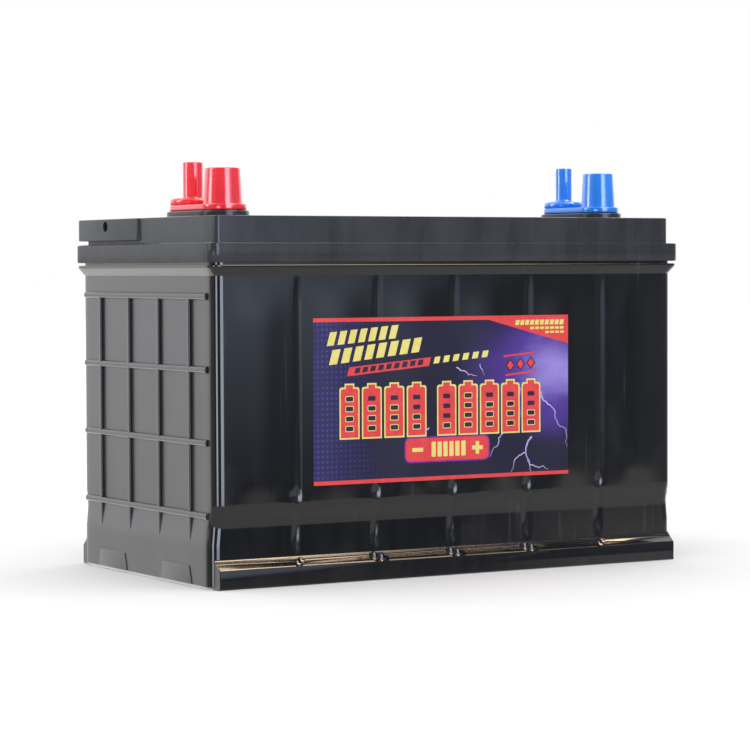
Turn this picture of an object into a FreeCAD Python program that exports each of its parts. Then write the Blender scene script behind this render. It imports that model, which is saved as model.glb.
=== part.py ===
import FreeCAD, Part
import math
import os

V = FreeCAD.Vector

# A flooded 12 volt deep cycle battery with two posts and two studs.  Millimetres, +Z up, +X from the
# positive end to the negative end, the label on the -Y side, the origin at the middle of the base.

# Driving dimensions: case
FLANGE_X = 152.5            # half length over the lid flange, the longest part
FLANGE_Y = 86.0             # half width over the lid flange and over the hold-down ledges
WALL_X = 149.6              # half length over the end walls
WALL_Y = 82.8               # half width over the side walls
LOWER_WALL_Y = 80.0         # half width where the side walls step in above the ledges
SKIRT_X = 151.1             # half length over the flared foot of the end walls
CORNER_R = 6.0
BASE_CHAMFER = 1.5
SKIRT_TOP_Z = 23.6
FLARE_TOP_Z = 40.2
STEP_BOTTOM_Z = 32.5
STEP_TOP_Z = 44.8
RIM_Z = (166.5, 170.8, 172.3)   # underside at the wall, underside at the lip, top of the lip
RIM_INSET = 0.1             # how far the rim stays inside the lid flange
WALL_TOP_Z = 175.6
WALL_T = 2.8
FLOOR_T = 3.0

# Driving dimensions: cells
CELLS = 6
CELL_PITCH = 49.3
PARTITION_T = 2.2
CELL_HALF_X = (CELL_PITCH - PARTITION_T) / 2
CELL_HALF_Y = WALL_Y - WALL_T
REST_Z = 9.0                # top of the ribs on the floor that the plates stand on
REST_Y = (-55.0, -20.0, 20.0, 55.0)
REST_T = 3.0

# Driving dimensions: ribs on the end walls
BAR_Z = [38.9 * k for k in (1, 2, 3, 4)]
BAR_R = 1.85
BAR_HALF_Y = 75.0
BAR_FACE_X = 151.4
RIB_Y = (-55.5, -18.5, 18.5, 55.5)
RIB_FACE_X = 151.2
RIB_ROOT_HALF = 2.2
RIB_FACE_HALF = 1.1
RIB_FOOT_Z = 20.0
RIB_SINK = 1.0              # how far bars and ribs are sunk into the wall
PAD_Y = 40.0
PAD_FOOT_HALF = 19.0
PAD_TOP_HALF = 16.0
PAD_TOP_Z = 11.3
PAD_OUT = 0.5
PAD_SINK = 0.5

# Driving dimensions: hold-down ledges
LEDGE_HALF_X = 148.5
LEDGE_FACE_Z = 10.8
LEDGE_TOP_Z = 15.4
LEDGE_SINK = 2.0
LEDGE_CHAMFER = 0.8
DIMPLE_R = 5.5
DIMPLE_IN = 2.0             # how far the middle of a dimple lies inside the ledge's face
DIMPLE_DOWN = 1.0

# Driving dimensions: lid
LID_BOTTOM_Z = 173.7
FLANGE_TOP_Z = 183.9
LID_TOP_Z = 198.5
BLOCK_X = (-149.8, 145.2)
BLOCK_Y = 85.0
FLANGE_CORNER_R = 5.0
BLOCK_CORNER_R = 3.0
SEAT_GAP = 0.15
LID_TOP_T = 3.0
LID_CAVITY_X = 142.2
BOSS_X = -151.3
BOSS_INNER_X = -145.3
BOSS_Y = (4.7, 84.0)
BOSS_BOTTOM_Z = 186.1
BOSS_EDGE_R = 2.0
UNDERCUT_X = -146.5         # inner end of the gap under the boss
UNDERCUT_CORNER = (-139.3, 80.0)
OUTLET_Y = 46.7
OUTLET_Z = 194.2
OUTLET_R = 2.9
GAS_PORT_R = 2.0
GAS_PORT_DOWN = 1.8
ARRESTOR_R = 4.0
ARRESTOR_X = (-147.5, -144.5)
ARRESTOR_DOWN = 0.8

# Driving dimensions: vent plugs
PLUG_Y = 22.0
PLUG_HEAD_R = 12.6
PLUG_HEAD_Z = (194.6, 198.2)
PLUG_SHANK_R = 8.92
PLUG_SHANK_BOTTOM_Z = 182.6
PLUG_BORE_R = 6.5
PLUG_CHAMFER = 0.6
PLUG_CROWN_T = 1.5          # plastic left between the bore and the head
SLOT_HALF = (8.5, 1.3)
SLOT_DEPTH = 2.0
SIDE_VENT_R = 0.9
SIDE_VENT_UP = 3.0
WELL_BORE_R = 9.0
WELL_TUBE_R = 12.0
WELL_BOTTOM_Z = 163.0
WELL_RECESS_R = 13.5
WELL_FLOOR_Z = 192.7
WELL_SEAT_WALL = 1.5
WELL_SEAT_T = 3.0
ORING_R = 10.2
ORING_SECTION_R = 0.9

# Driving dimensions: terminals, one tapered post and one stud at each end
TERMINAL_X = 124.0
POST_Y = -44.7
STUD_Y = -9.1
PAD_TOP_LID_Z = 201.8
PLATE_TOP_Z = 204.0
STUD_BOSS_TOP_Z = 208.2
STUD_BOSS_INSET = 3.0       # how much smaller the boss under a stud is than the foot of its cap
STUD_ROOT_R = 7.0
STUD_ROOT_DEPTH = 2.0
STUD_CHAMFER = 0.8
STUD_FIT = 0.02
POST_TOP_Z = 223.5
POST_TAPER = 1.0 / 9.0      # change of diameter per length of the standard battery post
SLEEVE_R = 11.0
SLEEVE_GROOVE = 0.6
SLEEVE_BOTTOM_Z = 185.0
SLEEVE_RING_Z = [SLEEVE_BOTTOM_Z + 1.5 + 3.5 * k for k in (0, 1, 2)]
SLEEVE_RING_H = 1.4
BUSHING_WALL = 4.0
INNER_POST_R = 6.4
INNER_POST_FIT = 0.05
INNER_POST_TOP_Z = 212.0
STUD_TOP_Z = 227.6
STUD_BOTTOM_Z = 200.0
# base radius of the post, radius of the stud, radius of the lid pad, radius of the cap's base, outer radius
# of the cap's stud tube
TERMINALS = {
    "positive": (-1, 9.7, 4.70, 14.5, 13.0, 5.6),
    "negative": (+1, 8.9, 3.90, 13.5, 12.0, 4.85),
}
CAP_GAP = 0.25
CAP_WALL = 0.8
CAP_REST_GAP = 0.1
CAP_DECK_INSET = 1.2
CAP_RIM = 1.0               # extra wall round the foot of a cap
STUD_CAP_GAP = 0.2
CAP_BASE_TOP_Z = 205.2
CAP_DECK_TOP_Z = 209.2
CAP_POST_TOP_Z = 224.9
CAP_STUD_TOP_Z = 229.1

# Driving dimensions: plates, separators and straps
POSITIVE_COUNT = 6
NEGATIVE_COUNT = 7
PLATE_PITCH = 7.3
POSITIVE_T = 2.4
NEGATIVE_T = 1.8
PLATE_HALF_Y = 71.5
PLATE_TOP = 134.0
ENVELOPE_T = 5.3
ENVELOPE_WALL = 1.4
ENVELOPE_HALF_Y = 73.5
ENVELOPE_TOP = 138.0
ENVELOPE_FOLD = 0.8
ENVELOPE_SEAM = 0.5
LUG_Y = 45.8
LUG_HALF_Y = 6.0
STRAP_Z = (148.0, 155.0)
STRAP_HALF_X = 22.8
STRAP_HALF_Y = 8.0
TAB_T = 4.0
TAB_HALF_Y = 10.0
TAB_TOP_Z = 172.0
WELD_Z = 163.0
WELD_R = 5.0
WELD_NUGGET_R = 4.98
WELD_SINK = 0.5
POST_SINK = 6.0             # how far an inner post is sunk into its strap

# Driving dimensions: label on the -Y wall
LABEL_X = (-89.8, 75.9)
LABEL_Z = (53.1, 143.4)
LABEL_T = 0.2

OVER = 1.0                  # how far a cutter reaches past the face it opens
TOUCH = 0.01                # how close two coordinates are when they count as the same

# Shapes shared by several pieces

def box(x0, x1, y0, y1, z0, z1):
    return Part.makeBox(x1 - x0, y1 - y0, z1 - z0, V(x0, y0, z0))


def cylinder(x, y, z0, z1, radius):
    return Part.makeCylinder(radius, z1 - z0, V(x, y, z0))


def cone(x, y, z0, z1, r0, r1):
    return Part.makeCone(r0, r1, z1 - z0, V(x, y, z0))


def along_x(x0, x1, y, z, radius):
    return Part.makeCylinder(radius, x1 - x0, V(x0, y, z), V(1, 0, 0))


def join(shapes):
    return shapes[0].multiFuse(shapes[1:]).removeSplitter()


def rounded_wire(half_x, half_y, radius, z, centre_x=0.0):
    """A closed rectangle with round corners in the plane at height z."""
    edges = []
    corners = [(1, -1, -90), (1, 1, 0), (-1, 1, 90), (-1, -1, 180)]
    arcs = []
    for sx, sy, start in corners:
        middle = V(centre_x + sx * (half_x - radius), sy * (half_y - radius), z)
        circle = Part.Circle(middle, V(0, 0, 1), radius)
        first = math.radians(start)
        arcs.append(Part.Arc(circle, first, first + math.pi / 2).toShape())
    for i, arc in enumerate(arcs):
        following = arcs[(i + 1) % 4]
        edges.append(arc)
        edges.append(Part.makeLine(arc.Vertexes[-1].Point, following.Vertexes[0].Point))
    return Part.Wire(edges)


def prism(half_x, half_y, radius, z0, z1, centre_x=0.0):
    face = Part.Face(rounded_wire(half_x, half_y, radius, z0, centre_x))
    return face.extrude(V(0, 0, z1 - z0))


def loft(levels):
    """A solid through round-cornered rectangles; each level is (z, half_x, half_y, radius)."""
    wires = [rounded_wire(half_x, half_y, radius, z) for z, half_x, half_y, radius in levels]
    return Part.makeLoft(wires, True, True)


def extruded(points, direction):
    wire = Part.makePolygon([V(*p) for p in points + points[:1]])
    return Part.Face(wire).extrude(V(*direction))


def stadium(x, y0, y1, radius, z0, z1):
    """A round-ended plate whose ends are centred at y0 and y1."""
    shapes = [
        cylinder(x, y0, z0, z1, radius),
        cylinder(x, y1, z0, z1, radius),
        box(x - radius, x + radius, y0, y1, z0, z1),
    ]
    return join(shapes)


def interpolate(z, table):
    """Value at height z of a line through the (z, value) points of the table."""
    for (z0, a), (z1, b) in zip(table, table[1:]):
        if z <= z1:
            return a + (b - a) * (z - z0) / (z1 - z0)
    return table[-1][1]


def cell_x(cell):
    return (cell - (CELLS + 1) / 2) * CELL_PITCH


# The case

def body_block():
    length = [(0, SKIRT_X - BASE_CHAMFER), (BASE_CHAMFER, SKIRT_X), (SKIRT_TOP_Z, SKIRT_X),
              (FLARE_TOP_Z, WALL_X), (WALL_TOP_Z, WALL_X)]
    width = [(0, LOWER_WALL_Y - BASE_CHAMFER), (BASE_CHAMFER, LOWER_WALL_Y), (STEP_BOTTOM_Z, LOWER_WALL_Y),
             (STEP_TOP_Z, WALL_Y), (WALL_TOP_Z, WALL_Y)]
    heights = sorted({z for z, _ in length + width})
    levels = [(z, interpolate(z, length), interpolate(z, width), CORNER_R) for z in heights]
    return loft(levels)


def rim_block():
    reach = FLANGE_X - RIM_INSET - WALL_X
    levels = [(RIM_Z[0], WALL_X, WALL_Y, CORNER_R)]
    levels += [(z, WALL_X + reach, WALL_Y + reach, CORNER_R) for z in RIM_Z[1:]]
    return loft(levels)


def end_bar(side, z):
    """A horizontal rib with a round nose and round ends."""
    middle = side * (BAR_FACE_X - BAR_R)
    inside = side * (WALL_X - RIB_SINK)
    x0, x1 = sorted((middle, inside))
    nose = Part.makeCylinder(BAR_R, 2 * BAR_HALF_Y, V(middle, -BAR_HALF_Y, z), V(0, 1, 0))
    web = box(x0, x1, -BAR_HALF_Y, BAR_HALF_Y, z - BAR_R, z + BAR_R)
    return [nose, web]


def end_rib(side, y):
    """An upright rib with sloping sides, whose foot runs out into the flared skirt."""
    root = side * (WALL_X - RIB_SINK)
    face = side * RIB_FACE_X
    section = [(root, y - RIB_ROOT_HALF, RIB_FOOT_Z), (face, y - RIB_FACE_HALF, RIB_FOOT_Z),
               (face, y + RIB_FACE_HALF, RIB_FOOT_Z), (root, y + RIB_ROOT_HALF, RIB_FOOT_Z)]
    upright = extruded(section, (0, 0, BAR_Z[-1] - RIB_FOOT_Z))
    low_y = y - RIB_ROOT_HALF - OVER
    profile = [(root, low_y, RIB_FOOT_Z), (side * SKIRT_X, low_y, SKIRT_TOP_Z), (face, low_y, BAR_Z[0]),
               (face, low_y, BAR_Z[-1]), (root, low_y, BAR_Z[-1])]
    return upright.common(extruded(profile, (0, 2 * (RIB_ROOT_HALF + OVER), 0)))


def foot_pad(side, y):
    """A shallow raised pad with sloping sides at the foot of an end wall."""
    inner = side * (SKIRT_X - PAD_SINK)
    outline = [(inner, y - PAD_FOOT_HALF, BASE_CHAMFER), (inner, y + PAD_FOOT_HALF, BASE_CHAMFER),
               (inner, y + PAD_TOP_HALF, PAD_TOP_Z), (inner, y - PAD_TOP_HALF, PAD_TOP_Z)]
    return extruded(outline, (side * (PAD_SINK + PAD_OUT), 0, 0))


def ledge(side):
    """A hold-down ledge along one side, with a sloping top for the clamp."""
    inner = side * (LOWER_WALL_Y - LEDGE_SINK)
    face = side * FLANGE_Y
    outline = [(inner, 0), (side * (FLANGE_Y - LEDGE_CHAMFER), 0), (face, LEDGE_CHAMFER), (face, LEDGE_FACE_Z),
               (side * LOWER_WALL_Y, LEDGE_TOP_Z), (inner, LEDGE_TOP_Z)]
    points = [(-LEDGE_HALF_X, y, z) for y, z in outline]
    return extruded(points, (2 * LEDGE_HALF_X, 0, 0))


def ledge_dimples():
    spheres = []
    for side in (-1, 1):
        for k in (-1, 0, 1):
            middle = V(k * CELL_PITCH, side * (FLANGE_Y - DIMPLE_IN), LEDGE_TOP_Z - DIMPLE_DOWN)
            spheres.append(Part.makeSphere(DIMPLE_R, middle))
    return spheres


def cell_space(cell):
    x0 = cell_x(cell) - CELL_HALF_X
    x1 = cell_x(cell) + CELL_HALF_X
    lower_y = LOWER_WALL_Y - WALL_T
    upper = box(x0, x1, -CELL_HALF_Y, CELL_HALF_Y, STEP_TOP_Z, WALL_TOP_Z + OVER)
    lower = box(x0, x1, -lower_y, lower_y, FLOOR_T, STEP_TOP_Z + OVER)
    rests = [box(x0, x1, y - REST_T / 2, y + REST_T / 2, FLOOR_T, REST_Z) for y in REST_Y]
    return upper.fuse(lower).cut(Part.makeCompound(rests))


def weld_side(partition):
    """+1 or -1: the side of the case on which the straps meet through a partition."""
    return 1 if partition % 2 == 1 else -1


def weld_holes():
    holes = []
    for partition in range(1, CELLS):
        x = cell_x(partition) + CELL_PITCH / 2
        holes.append(along_x(x - PARTITION_T, x + PARTITION_T, weld_side(partition) * LUG_Y, WELD_Z, WELD_R))
    return holes


def container():
    solids = [body_block(), rim_block()]
    for side in (-1, 1):
        solids.append(ledge(side))
        for z in BAR_Z:
            solids += end_bar(side, z)
        for y in RIB_Y:
            solids.append(end_rib(side, y))
        for y in (-PAD_Y, PAD_Y):
            solids.append(foot_pad(side, y))
    outside = join(solids)
    spaces = [cell_space(cell) for cell in range(1, CELLS + 1)]
    return outside.cut(Part.makeCompound(spaces + ledge_dimples() + weld_holes()))


# The lid

def lid_outside():
    flange = prism(FLANGE_X, FLANGE_Y, FLANGE_CORNER_R, LID_BOTTOM_Z, FLANGE_TOP_Z)
    half = (BLOCK_X[1] - BLOCK_X[0]) / 2
    block = prism(half, BLOCK_Y, BLOCK_CORNER_R, FLANGE_TOP_Z, LID_TOP_Z, (BLOCK_X[0] + BLOCK_X[1]) / 2)
    boss = box(BOSS_X, BOSS_INNER_X, BOSS_Y[0], BOSS_Y[1], BOSS_BOTTOM_Z, LID_TOP_Z)
    middle_z = (BOSS_BOTTOM_Z + LID_TOP_Z) / 2
    outer = [e for e in boss.Edges
             if abs(e.CenterOfMass.z - middle_z) < TOUCH and abs(e.CenterOfMass.x - BOSS_X) < TOUCH]
    boss = boss.makeFillet(BOSS_EDGE_R, outer)
    undercut = box(BOSS_X - OVER, UNDERCUT_X, BOSS_Y[0], FLANGE_Y, FLANGE_TOP_Z, BOSS_BOTTOM_Z)
    corner = box(BOSS_X - OVER, UNDERCUT_CORNER[0], UNDERCUT_CORNER[1], FLANGE_Y, FLANGE_TOP_Z, BOSS_BOTTOM_Z)
    solids = [flange, block.cut(undercut.fuse(corner)), boss]
    for side, _, _, pad_r, _, _ in TERMINALS.values():
        x = side * TERMINAL_X
        solids.append(stadium(x, POST_Y, STUD_Y, pad_r, LID_TOP_Z - OVER, PAD_TOP_LID_Z))
    return join(solids)


def lid_cell_space(cell):
    x = cell_x(cell)
    x0 = max(x - CELL_HALF_X, -LID_CAVITY_X)
    x1 = min(x + CELL_HALF_X, LID_CAVITY_X)
    space = box(x0, x1, -CELL_HALF_Y, CELL_HALF_Y, WALL_TOP_Z, LID_TOP_Z - LID_TOP_T)
    well = cylinder(x, PLUG_Y, WELL_BOTTOM_Z, LID_TOP_Z, WELL_TUBE_R)
    head_seat = cylinder(x, PLUG_Y, WELL_FLOOR_Z - WELL_SEAT_T, LID_TOP_Z, WELL_RECESS_R + WELL_SEAT_WALL)
    return space.cut(well.fuse(head_seat))


def well_hollow(x):
    bore = cylinder(x, PLUG_Y, WELL_BOTTOM_Z - OVER, LID_TOP_Z, WELL_BORE_R)
    recess = cylinder(x, PLUG_Y, WELL_FLOOR_Z, LID_TOP_Z + OVER, WELL_RECESS_R)
    return bore.fuse(recess)


def lid(terminal_blanks):
    cells = range(1, CELLS + 1)
    seat = prism(WALL_X + SEAT_GAP, WALL_Y + SEAT_GAP, CORNER_R + SEAT_GAP, LID_BOTTOM_Z - OVER, WALL_TOP_Z)
    spaces = [lid_cell_space(cell) for cell in cells]
    shell = lid_outside().cut(seat).cut(Part.makeCompound(spaces))
    tubes = [cylinder(cell_x(cell), PLUG_Y, WELL_BOTTOM_Z, WALL_TOP_Z + OVER, WELL_TUBE_R) for cell in cells]
    bushing_top = LID_TOP_Z - LID_TOP_T + OVER
    bushings = [cylinder(side * TERMINAL_X, POST_Y, SLEEVE_BOTTOM_Z, bushing_top, SLEEVE_R + BUSHING_WALL)
                for side in (-1, 1)]
    solid = join([shell] + tubes + bushings)
    inner_x = -LID_CAVITY_X + OVER
    hollows = [well_hollow(cell_x(cell)) for cell in cells]
    outlet = along_x(BOSS_X - OVER, inner_x, OUTLET_Y, OUTLET_Z, OUTLET_R)
    pocket = along_x(ARRESTOR_X[0], inner_x, OUTLET_Y, OUTLET_Z - ARRESTOR_DOWN, ARRESTOR_R)
    ports = along_x(-LID_CAVITY_X, LID_CAVITY_X, OUTLET_Y, OUTLET_Z - GAS_PORT_DOWN, GAS_PORT_R)
    cutters = hollows + [outlet, pocket, ports]
    return solid.cut(Part.makeCompound(cutters)).cut(Part.makeCompound(terminal_blanks))


def flame_arrestor():
    return along_x(ARRESTOR_X[0], ARRESTOR_X[1], OUTLET_Y, OUTLET_Z - ARRESTOR_DOWN, ARRESTOR_R)


# Vent plugs

def vent_plug(cell):
    """A flush screw plug with a coin slot, hollow below so that gas can reach its side vent."""
    x = cell_x(cell)
    head = cylinder(x, PLUG_Y, PLUG_HEAD_Z[0], PLUG_HEAD_Z[1], PLUG_HEAD_R)
    rim = [e for e in head.Edges if abs(e.CenterOfMass.z - PLUG_HEAD_Z[1]) < TOUCH]
    head = head.makeChamfer(PLUG_CHAMFER, rim)
    shank = cylinder(x, PLUG_Y, PLUG_SHANK_BOTTOM_Z, PLUG_HEAD_Z[0], PLUG_SHANK_R)
    bore = cylinder(x, PLUG_Y, PLUG_SHANK_BOTTOM_Z, PLUG_HEAD_Z[0] - PLUG_CROWN_T, PLUG_BORE_R)
    slot = box(x - SLOT_HALF[0], x + SLOT_HALF[0], PLUG_Y - SLOT_HALF[1], PLUG_Y + SLOT_HALF[1],
               PLUG_HEAD_Z[1] - SLOT_DEPTH, PLUG_HEAD_Z[1] + OVER)
    vent_from = V(x, PLUG_Y, PLUG_SHANK_BOTTOM_Z + SIDE_VENT_UP)
    vent = Part.makeCylinder(SIDE_VENT_R, 2 * PLUG_SHANK_R, vent_from, V(0, 1, 0))
    return join([head, shank]).cut(Part.makeCompound([bore, slot, vent]))


def vent_oring(cell):
    middle = V(cell_x(cell), PLUG_Y, (WELL_FLOOR_Z + PLUG_HEAD_Z[0]) / 2)
    return Part.makeTorus(ORING_R, ORING_SECTION_R, middle, V(0, 0, 1))


# Terminals and caps

def post_radius(base_r, z):
    return base_r - (z - PLATE_TOP_Z) * POST_TAPER / 2


def terminal_blank(polarity):
    """The outside of a lead terminal: sleeve with sealing rings, plate, tapered post and stud boss."""
    side, base_r, _, _, cap_r, _ = TERMINALS[polarity]
    x = side * TERMINAL_X
    plate_r = cap_r - CAP_WALL - CAP_GAP - CAP_RIM
    solids = [
        cylinder(x, POST_Y, SLEEVE_BOTTOM_Z, PAD_TOP_LID_Z, SLEEVE_R - SLEEVE_GROOVE),
        stadium(x, POST_Y, STUD_Y, plate_r, PAD_TOP_LID_Z, PLATE_TOP_Z),
        cone(x, POST_Y, PLATE_TOP_Z, POST_TOP_Z, base_r, post_radius(base_r, POST_TOP_Z)),
        cylinder(x, STUD_Y, PLATE_TOP_Z, STUD_BOSS_TOP_Z, cap_r - STUD_BOSS_INSET),
        cylinder(x, STUD_Y, STUD_BOTTOM_Z - STUD_ROOT_DEPTH, PAD_TOP_LID_Z, STUD_ROOT_R),
    ]
    solids += [cylinder(x, POST_Y, z, z + SLEEVE_RING_H, SLEEVE_R) for z in SLEEVE_RING_Z]
    return join(solids)


def terminal(polarity):
    side, _, stud_r, _, _, _ = TERMINALS[polarity]
    x = side * TERMINAL_X
    bore = cylinder(x, POST_Y, SLEEVE_BOTTOM_Z - OVER, INNER_POST_TOP_Z, INNER_POST_R + INNER_POST_FIT)
    stud_hole = cylinder(x, STUD_Y, STUD_BOTTOM_Z, STUD_BOSS_TOP_Z + OVER, stud_r + STUD_FIT)
    return terminal_blank(polarity).cut(bore).cut(stud_hole)


def stud(polarity):
    side, _, stud_r, _, _, _ = TERMINALS[polarity]
    rod = cylinder(side * TERMINAL_X, STUD_Y, STUD_BOTTOM_Z, STUD_TOP_Z, stud_r)
    end = [e for e in rod.Edges if abs(e.CenterOfMass.z - STUD_TOP_Z) < TOUCH]
    return rod.makeChamfer(STUD_CHAMFER, end)


def cap_outside(polarity):
    side, base_r, _, _, cap_r, tube_r = TERMINALS[polarity]
    x = side * TERMINAL_X
    skin = CAP_GAP + CAP_WALL
    solids = [
        stadium(x, POST_Y, STUD_Y, cap_r, PAD_TOP_LID_Z + CAP_REST_GAP, CAP_BASE_TOP_Z),
        cylinder(x, STUD_Y, CAP_BASE_TOP_Z, CAP_DECK_TOP_Z, cap_r - CAP_DECK_INSET),
        cone(x, POST_Y, CAP_BASE_TOP_Z, CAP_POST_TOP_Z, post_radius(base_r, CAP_BASE_TOP_Z) + skin,
             post_radius(base_r, CAP_POST_TOP_Z) + skin),
        cylinder(x, STUD_Y, CAP_DECK_TOP_Z, CAP_STUD_TOP_Z, tube_r),
    ]
    return join(solids)


def cap_inside(polarity):
    """The room that a cap leaves over its terminal, open downwards."""
    side, base_r, stud_r, _, cap_r, _ = TERMINALS[polarity]
    x = side * TERMINAL_X
    plate_r = cap_r - CAP_WALL - CAP_RIM
    low = PAD_TOP_LID_Z - OVER
    return join([
        stadium(x, POST_Y, STUD_Y, plate_r, low, PLATE_TOP_Z + CAP_GAP),
        cone(x, POST_Y, low, POST_TOP_Z + CAP_GAP, post_radius(base_r, low) + CAP_GAP,
             post_radius(base_r, POST_TOP_Z + CAP_GAP) + CAP_GAP),
        cylinder(x, STUD_Y, low, STUD_BOSS_TOP_Z + CAP_GAP, cap_r - STUD_BOSS_INSET + CAP_GAP),
        cylinder(x, STUD_Y, low, STUD_TOP_Z + CAP_GAP, stud_r + STUD_CAP_GAP),
    ])


def cap(polarity):
    return cap_outside(polarity).cut(cap_inside(polarity))


# Plates, separators and straps

def positive_side(cell):
    """-1 or +1: the side of the case on which a cell's positive lugs stand."""
    return -1 if cell % 2 == 1 else 1


def plates(cell, count, thickness, side, bottom):
    shapes = []
    for i in range(count):
        x = cell_x(cell) + (i - (count - 1) / 2) * PLATE_PITCH
        x0, x1 = x - thickness / 2, x + thickness / 2
        plate = box(x0, x1, -PLATE_HALF_Y, PLATE_HALF_Y, bottom, PLATE_TOP)
        lug = box(x0, x1, side * LUG_Y - LUG_HALF_Y, side * LUG_Y + LUG_HALF_Y, PLATE_TOP, STRAP_Z[0])
        shapes.append(join([plate, lug]))
    return Part.makeCompound(shapes)


def separators(cell):
    """One folded envelope, open at the top, round each positive plate."""
    shapes = []
    half = ENVELOPE_T / 2
    inner = half - ENVELOPE_WALL
    pocket_y = ENVELOPE_HALF_Y - ENVELOPE_SEAM
    for i in range(POSITIVE_COUNT):
        x = cell_x(cell) + (i - (POSITIVE_COUNT - 1) / 2) * PLATE_PITCH
        outside = box(x - half, x + half, -ENVELOPE_HALF_Y, ENVELOPE_HALF_Y, REST_Z, ENVELOPE_TOP)
        pocket = box(x - inner, x + inner, -pocket_y, pocket_y, REST_Z + ENVELOPE_FOLD, ENVELOPE_TOP + OVER)
        shapes.append(outside.cut(pocket))
    return Part.makeCompound(shapes)


def strap(cell, side, towards):
    """A cast bar over a row of lugs; towards is +1 or -1 for a tab at that partition, 0 for a terminal post."""
    x = cell_x(cell)
    y = side * LUG_Y
    solids = [box(x - STRAP_HALF_X, x + STRAP_HALF_X, y - STRAP_HALF_Y, y + STRAP_HALF_Y, STRAP_Z[0], STRAP_Z[1])]
    if towards:
        wall = x + towards * CELL_HALF_X
        x0, x1 = sorted((wall, wall - towards * TAB_T))
        solids.append(box(x0, x1, y - TAB_HALF_Y, y + TAB_HALF_Y, STRAP_Z[0], TAB_TOP_Z))
        x0, x1 = sorted((wall, wall + towards * PARTITION_T / 2))
        sink = (WELD_SINK, 0.0) if towards > 0 else (0.0, WELD_SINK)
        solids.append(along_x(x0 - sink[0], x1 + sink[1], y, WELD_Z, WELD_NUGGET_R))
    else:
        end = -1 if cell == 1 else 1
        post_foot = STRAP_Z[1] - POST_SINK
        solids.append(cylinder(end * TERMINAL_X, POST_Y, post_foot, INNER_POST_TOP_Z, INNER_POST_R))
    return join(solids)


def label():
    return box(LABEL_X[0], LABEL_X[1], -WALL_Y - LABEL_T, -WALL_Y, LABEL_Z[0], LABEL_Z[1])


def build():
    blanks = [terminal_blank(polarity) for polarity in TERMINALS]
    nodes = {"container": container(), "lid": lid(blanks), "flame_arrestor": flame_arrestor(), "label": label()}
    for polarity in TERMINALS:
        nodes[polarity + "_terminal"] = terminal(polarity)
        nodes[polarity + "_stud"] = stud(polarity)
        nodes[polarity + "_cap"] = cap(polarity)
    for cell in range(1, CELLS + 1):
        side = positive_side(cell)
        nodes[f"vent_plug_{cell}"] = vent_plug(cell)
        nodes[f"vent_oring_{cell}"] = vent_oring(cell)
        nodes[f"positive_plates_cell_{cell}"] = plates(cell, POSITIVE_COUNT, POSITIVE_T, side,
                                                       REST_Z + ENVELOPE_FOLD)
        nodes[f"negative_plates_cell_{cell}"] = plates(cell, NEGATIVE_COUNT, NEGATIVE_T, -side, REST_Z)
        nodes[f"separators_cell_{cell}"] = separators(cell)
        nodes[f"positive_strap_cell_{cell}"] = strap(cell, side, 0 if cell == 1 else -1)
        nodes[f"negative_strap_cell_{cell}"] = strap(cell, -side, 0 if cell == CELLS else 1)
    return nodes


os.makedirs("parts", exist_ok=True)
for name, shape in build().items():
    bounds = shape.BoundBox
    print(f"{name:26s} solids {len(shape.Solids):2d} valid {shape.isValid()} volume {shape.Volume / 1000:8.2f} cm3 "
          f"x {bounds.XMin:7.1f} {bounds.XMax:7.1f} y {bounds.YMin:6.1f} {bounds.YMax:6.1f} "
          f"z {bounds.ZMin:6.1f} {bounds.ZMax:6.1f}")
    shape.exportStep(f"parts/{name}.step")
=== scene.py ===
# %% [markdown]
# A deep cycle battery, drawn around its fixed frame. The frame holds the real parts: case, lid, posts, plates.
# This lesson gives them their finished skins: glossy and satin plastics, a printed label, soft vinyl caps and
# dull lead.

# %% Load the frame
import bmesh
import bpy
import random
from math import copysign, cos, exp, pi, radians, sin
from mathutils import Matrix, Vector, noise


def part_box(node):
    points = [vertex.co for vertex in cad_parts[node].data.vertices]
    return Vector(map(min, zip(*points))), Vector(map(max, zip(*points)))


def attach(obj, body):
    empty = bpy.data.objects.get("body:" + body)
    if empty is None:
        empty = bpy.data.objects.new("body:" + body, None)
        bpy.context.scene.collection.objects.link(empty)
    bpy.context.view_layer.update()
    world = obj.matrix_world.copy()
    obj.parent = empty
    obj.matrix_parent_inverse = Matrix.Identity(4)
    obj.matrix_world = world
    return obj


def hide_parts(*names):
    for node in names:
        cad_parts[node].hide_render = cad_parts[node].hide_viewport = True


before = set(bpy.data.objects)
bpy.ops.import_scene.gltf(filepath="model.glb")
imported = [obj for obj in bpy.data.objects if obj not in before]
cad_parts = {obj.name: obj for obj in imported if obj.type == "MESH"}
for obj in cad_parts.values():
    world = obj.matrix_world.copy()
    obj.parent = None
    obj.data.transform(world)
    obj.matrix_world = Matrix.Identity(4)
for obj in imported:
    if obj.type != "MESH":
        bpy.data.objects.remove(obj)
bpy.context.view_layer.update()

# %% [markdown]
# The main sizes come from the frame, so that a skin and the part under it can't drift apart. The smaller ones,
# such as the depth of a rib, are set here in millimetres and turned into metres by MM.

# %% Sizes
MM = 0.001
CELLS = 6
CELL_PITCH = 49.3 * MM
CELL_HALF = CELL_PITCH / 2 - 1.1 * MM
case_low, case_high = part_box("container")
lid_low, lid_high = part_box("lid")
label_low, label_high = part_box("label")
WALL_X = 149.6 * MM
WALL_Y = -label_high.y
CORNER_R = 6.0 * MM
LOWER_WALL_Y = WALL_Y - 2.8 * MM
SKIRT_X = WALL_X + 1.5 * MM
WALL_TOP = case_high.z
LEDGE_Y = case_high.y
PARTITION_X = [(k - CELLS / 2) * CELL_PITCH for k in range(1, CELLS)]
CELL_X = [(k - (CELLS - 1) / 2) * CELL_PITCH for k in range(CELLS)]
print("case", [round(v / MM, 1) for v in case_high - case_low], "wall", round(WALL_Y / MM, 2))

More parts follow.
